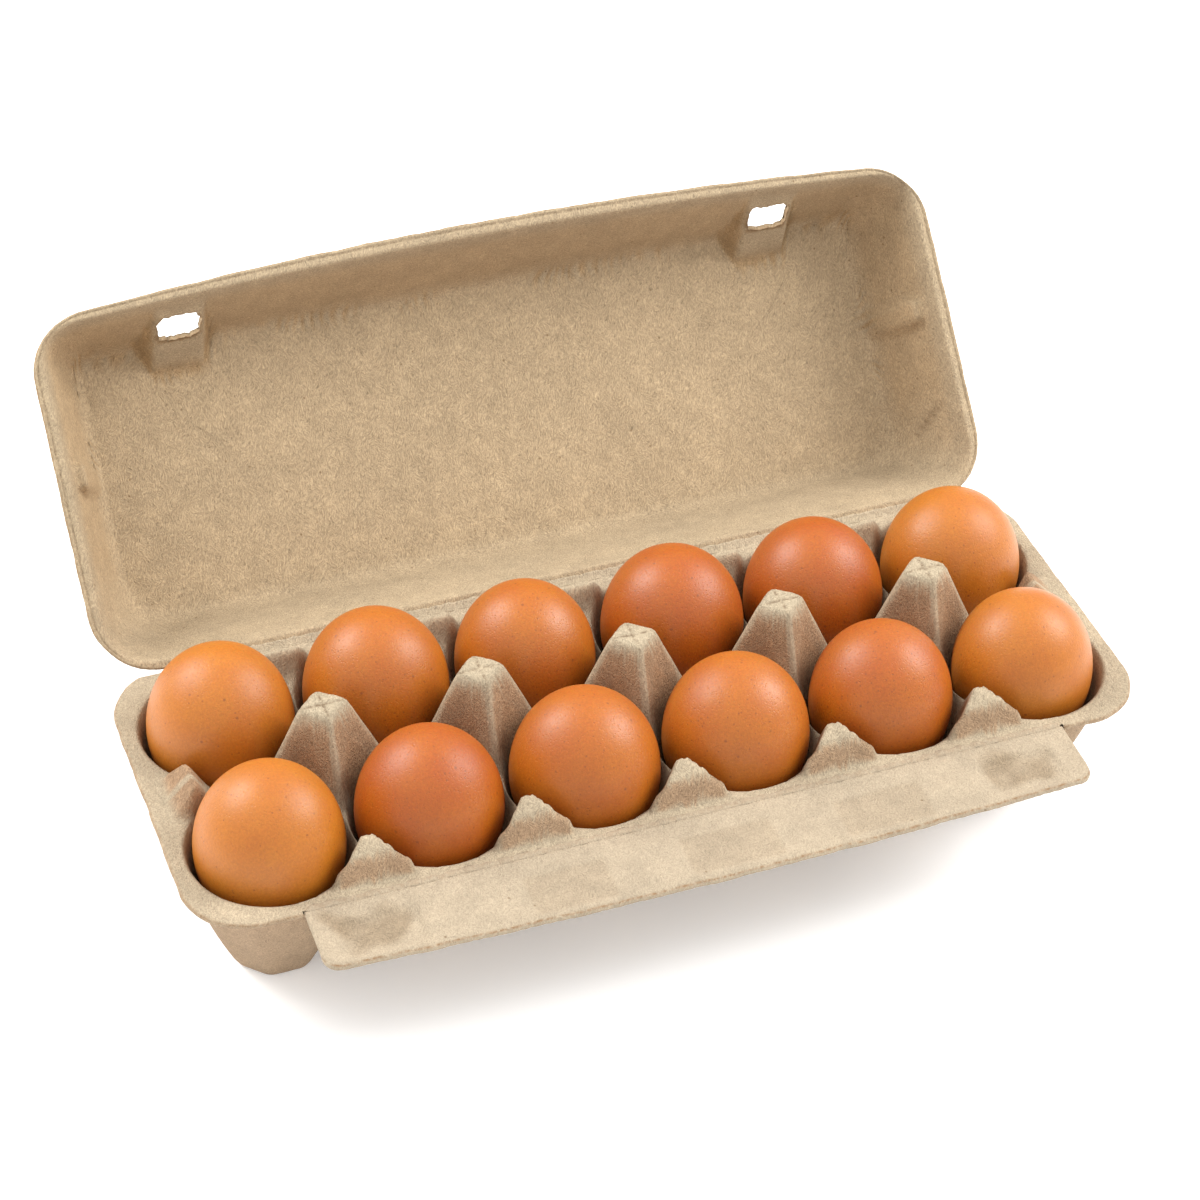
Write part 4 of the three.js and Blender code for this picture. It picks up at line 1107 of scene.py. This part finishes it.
class PulpLook(bpy.types.PropertyGroup):
    tray: tint("Tray", "#a69279", "Colour of the tray's pulp")
    # The pressed colours also carry painted light: on the posts' caps and ridges and on the
    # bosses' faces
    tray_pale: tint("Pressed and lit tray", "#a6977f", "Colour of its pressed rim and tops")
    # The fuzzy colours also carry painted shade: on steep sides, beside and under the bosses, on
    # the walls, in the dishes and deep in the cups
    tray_deep: tint("Fuzzy and shaded tray", "#9b7452", "Colour of its steep, fuzzy sides")
    lid: tint("Lid", "#ac9677", "Colour of the lid's pulp")
    lid_pale: tint("Pressed and lit lid", "#a69377", "Colour of its flange")
    lid_deep: tint("Fuzzy and shaded lid", "#a5855c", "Colour of its walls")
    flap: tint("Flap", "#9d8c75", "Colour of the flap's pulp")
    flap_pale: tint("Pressed flap", "#a3947e", "Colour of its smooth face")
    flap_deep: tint("Fuzzy and shaded flap", "#86735a", "Colour of its rough dishes")
    fleck: tint("Fleck", "#6b5236", "Colour of the bark flecks")
    # The torn edge's colour also paints the shade along the cups' mouths
    torn: tint("Torn edge", "#80603f", "Colour of a torn edge")
    groove: tint("Groove", "#5d4730", "Colour deep in a crease")
    fibre_length_mm: length("Fibre length", 1.5, 0.5, 5, "Length of the fibres' strokes")
    fibre_width_mm: length("Fibre width", 0.4, 0.1, 1, "Width of the fibres' strokes")
    fleck_spacing_mm: length("Fleck spacing", 5.5, 1, 30, "Distance between flecks")
    relief_mm: length("Relief", 0.6, 0, 1, "Height of the fibres' relief")


class EggLook(bpy.types.PropertyGroup):
    pale: tint("Pale egg", "#ab6416", "Colour of the palest egg")
    deep: tint("Deep egg", "#9a4804", "Colour of the deepest egg")
    speck: tint("Speckle", "#6a3510", "Colour of the speckles")


class StudioLook(bpy.types.PropertyGroup):
    floor: tint("Floor", "#f3f3f3", "Colour of the floor")
    floor_shade: tint("Floor shade", "#efefef", "Colour of its slow changes")
    # The floor's glow paints light into its shadows
    floor_glow: bpy.props.FloatProperty(name="Floor glow", default=0.2, min=0, max=1,
                                        description="Light that comes up through the table")
    room_low: bpy.props.FloatProperty(name="Room, level", default=0.78, min=0, max=5,
                                      description="Strength of the white room at eye level")
    room_high: bpy.props.FloatProperty(name="Room, overhead", default=1.5, min=0, max=5,
                                       description="Strength of the white room overhead")
    key: bpy.props.FloatProperty(name="Key", default=22, min=0, max=500, subtype="POWER",
                                 description="Power of the large light above, back left")
    side: bpy.props.FloatProperty(name="Side", default=22, min=0, max=500, subtype="POWER",
                                  description="Power of the large light at the right")


def area_light(name, place, size, power):
    """A large square soft light that faces the carton."""
    lamp = bpy.data.lights.new(name, "AREA")
    lamp.size, lamp.energy = size, power
    light = bpy.data.objects.new(name, lamp)
    light.location = place
    back = light.location.normalized()
    light.rotation_euler = back.to_track_quat("Z", "Y").to_euler()
    light.visible_camera = False
    bpy.context.scene.collection.objects.link(light)


class CARTON_OT_stage(bpy.types.Operator):
    """Camera, plain pale floor and soft studio light"""

    bl_idname = "carton.stage"
    bl_label = "Studio"

    def execute(self, context):
        scene, look = context.scene, context.scene.studio_look
        # The photograph's camera: azimuth, elevation and roll, its distance from the middle of
        # the carton, the aim's shift across the view and the focal length, in millimetres
        azimuth, elevation, roll = (math.radians(a) for a in (-22.45, 40.73, 2.58))
        distance, aim_x, aim_y, focal, sensor = 948.64, -7.37, 59.06, 92.35, 36
        back = np.array([math.sin(azimuth) * math.cos(elevation),
                         -math.cos(azimuth) * math.cos(elevation), math.sin(elevation)])
        right = np.array([math.cos(azimuth), math.sin(azimuth), 0])
        up = np.cross(back, right)
        right, up = (math.cos(roll) * right + math.sin(roll) * up,
                     math.cos(roll) * up - math.sin(roll) * right)
        place = back * distance + right * aim_x + up * aim_y
        turn = np.eye(4)
        turn[:3, :3] = np.stack([right, up, back], axis=1)
        turn[:3, 3] = to_frame(place)
        lens = bpy.data.cameras.new("photo_camera")
        lens.lens, lens.sensor_width = focal, sensor
        camera = bpy.data.objects.new("photo_camera", lens)
        camera.matrix_world = Matrix(turn.tolist())
        scene.collection.objects.link(camera)
        scene.camera = camera

        reach = 3
        mesh = bpy.data.meshes.new("floor")
        square = [(-reach, -reach), (reach, -reach), (reach, reach), (-reach, reach)]
        mesh.from_pydata([(x, y, -0.05 * MM) for x, y in square], [], [(0, 1, 2, 3)])
        mesh.materials.append(plain_floor(look))
        floor = bpy.data.objects.new("floor", mesh)
        scene.collection.objects.link(floor)

        area_light("key_light", (-0.82, 0.75, 1.02), 0.75, look.key)
        area_light("side_light", (1.14, -0.11, 0.96), 0.75, look.side)
        world = bpy.data.worlds.new("white_room")
        world.use_nodes = True
        tree = world.node_tree
        tree.nodes["Background"].inputs["Color"].default_value = (1, 1, 1, 1)
        direction = add(tree, "TexCoord")["Generated"]
        # Brightest overhead and a little towards the front and the left
        height = add(tree, "VectorMath", {1: (-0.14, -0.22, 0.95)}, {0: direction},
                     operation="DOT_PRODUCT")["Value"]
        glow = add(tree, "MapRange", {"To Min": look.room_low, "To Max": look.room_high},
                   {"Value": height})[0]
        tree.links.new(glow, tree.nodes["Background"].inputs["Strength"])
        scene.world = world
        scene.view_settings.view_transform = "Standard"
        return {"FINISHED"}


class CARTON_OT_tray(bpy.types.Operator):
    """The tray with its twelve cups, five posts and the bumps round its rim"""

    bl_idname = "carton.tray"
    bl_label = "Tray"

    def execute(self, context):
        material = moulded_pulp("tray_pulp_moulded", context.scene.pulp_look, "tray", 0.9)
        make_tray(context.scene.carton_shape, material)
        return {"FINISHED"}


class CARTON_OT_lid(bpy.types.Operator):
    """The lid with its two windows and two ribs"""

    bl_idname = "carton.lid"
    bl_label = "Lid"

    def execute(self, context):
        material = moulded_pulp("lid_pulp_moulded", context.scene.pulp_look, "lid", 0.95)
        make_lid(context.scene.carton_shape, material)
        return {"FINISHED"}


class CARTON_OT_flap(bpy.types.Operator):
    """The closing flap with its two buttons"""

    bl_idname = "carton.flap"
    bl_label = "Flap"

    def execute(self, context):
        material = moulded_pulp("flap_pulp_pressed", context.scene.pulp_look, "flap", 0.6)
        make_flap(context.scene.carton_shape, material)
        return {"FINISHED"}


class CARTON_OT_folds(bpy.types.Operator):
    """The creased strips that join the lid and the flap to the tray"""

    bl_idname = "carton.folds"
    bl_label = "Folds"

    def execute(self, context):
        flap_pulp = bpy.data.materials["flap_pulp_pressed"]
        rim = TRAY.rim
        over_flap = [(-52.2, rim - 0.1), (-52.9, rim + 0.08), (-53.5, rim + 0.22),
                     (-54.2, rim + 0.08), (-55.2, rim - 0.2), (-54.8, rim - 0.7),
                     (-53.5, rim - 0.75), (-52.4, rim - 0.7)]
        crease = make_fold("flap_fold", FLAP.half_length - 0.3, over_flap, 31, flap_pulp)
        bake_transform(crease)
        tray_side = [(52.2, rim - 0.1), (53, rim + 0.1)]
        lid_side = [tuple(lid_to_carton(0, u, d)[1:]) for u, d in
                    ((0.2, -0.25), (0.9, -0.12), (1.9, 0.1), (1.5, 0.75), (0.4, 0.8))]
        over_hinge = tray_side + lid_side + [(53.4, rim - 0.6), (52.4, rim - 0.7)]
        tray_pulp = bpy.data.materials["tray_pulp_moulded"]
        fold = make_fold("lid_fold", 127.4, over_hinge[::-1], 32, tray_pulp)
        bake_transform(fold)
        return {"FINISHED"}


class CARTON_OT_eggs(bpy.types.Operator):
    """The twelve eggs in their cups"""

    bl_idname = "carton.eggs"
    bl_label = "Eggs"

    def execute(self, context):
        material = brown_eggshell(context.scene.egg_look)
        inward = ROW - EGG.inward
        for row, eggs, row_y in (("front", FRONT_EGGS, -inward), ("back", BACK_EGGS, inward)):
            for column, egg in enumerate(eggs):
                node = f"egg_{row}_{column + 1}"
                make_egg(node + "_shell", node, row_y, column, egg, material)
        return {"FINISHED"}


OPERATORS = (CARTON_OT_stage, CARTON_OT_tray, CARTON_OT_lid, CARTON_OT_flap, CARTON_OT_folds,
             CARTON_OT_eggs)
GROUPS = {"carton_shape": CartonShape, "pulp_look": PulpLook, "egg_look": EggLook,
          "studio_look": StudioLook}


class CARTON_PT_panel(bpy.types.Panel):
    """The carton's pieces with their sizes and colours"""

    bl_idname = "CARTON_PT_panel"
    bl_label = "Egg carton"
    bl_space_type = "VIEW_3D"
    bl_region_type = "UI"
    bl_category = "Egg carton"

    def draw(self, context):
        for operator in OPERATORS:
            self.layout.operator(operator.bl_idname)
        for group, kind in GROUPS.items():
            box = self.layout.box()
            for name in kind.__annotations__:
                box.prop(getattr(context.scene, group), name)


def register():
    for kind in (*GROUPS.values(), *OPERATORS, CARTON_PT_panel):
        bpy.utils.register_class(kind)
    for group, kind in GROUPS.items():
        setattr(bpy.types.Scene, group, bpy.props.PointerProperty(type=kind))


def unregister():
    for group in GROUPS:
        delattr(bpy.types.Scene, group)
    for kind in (CARTON_PT_panel, *OPERATORS[::-1], *GROUPS.values()):
        bpy.utils.unregister_class(kind)


def main():
    register()
    bpy.ops.carton.stage()
    bpy.ops.carton.tray()
    bpy.ops.carton.lid()
    bpy.ops.carton.flap()
    bpy.ops.carton.folds()
    bpy.ops.carton.eggs()


if __name__ == "__main__":
    main()
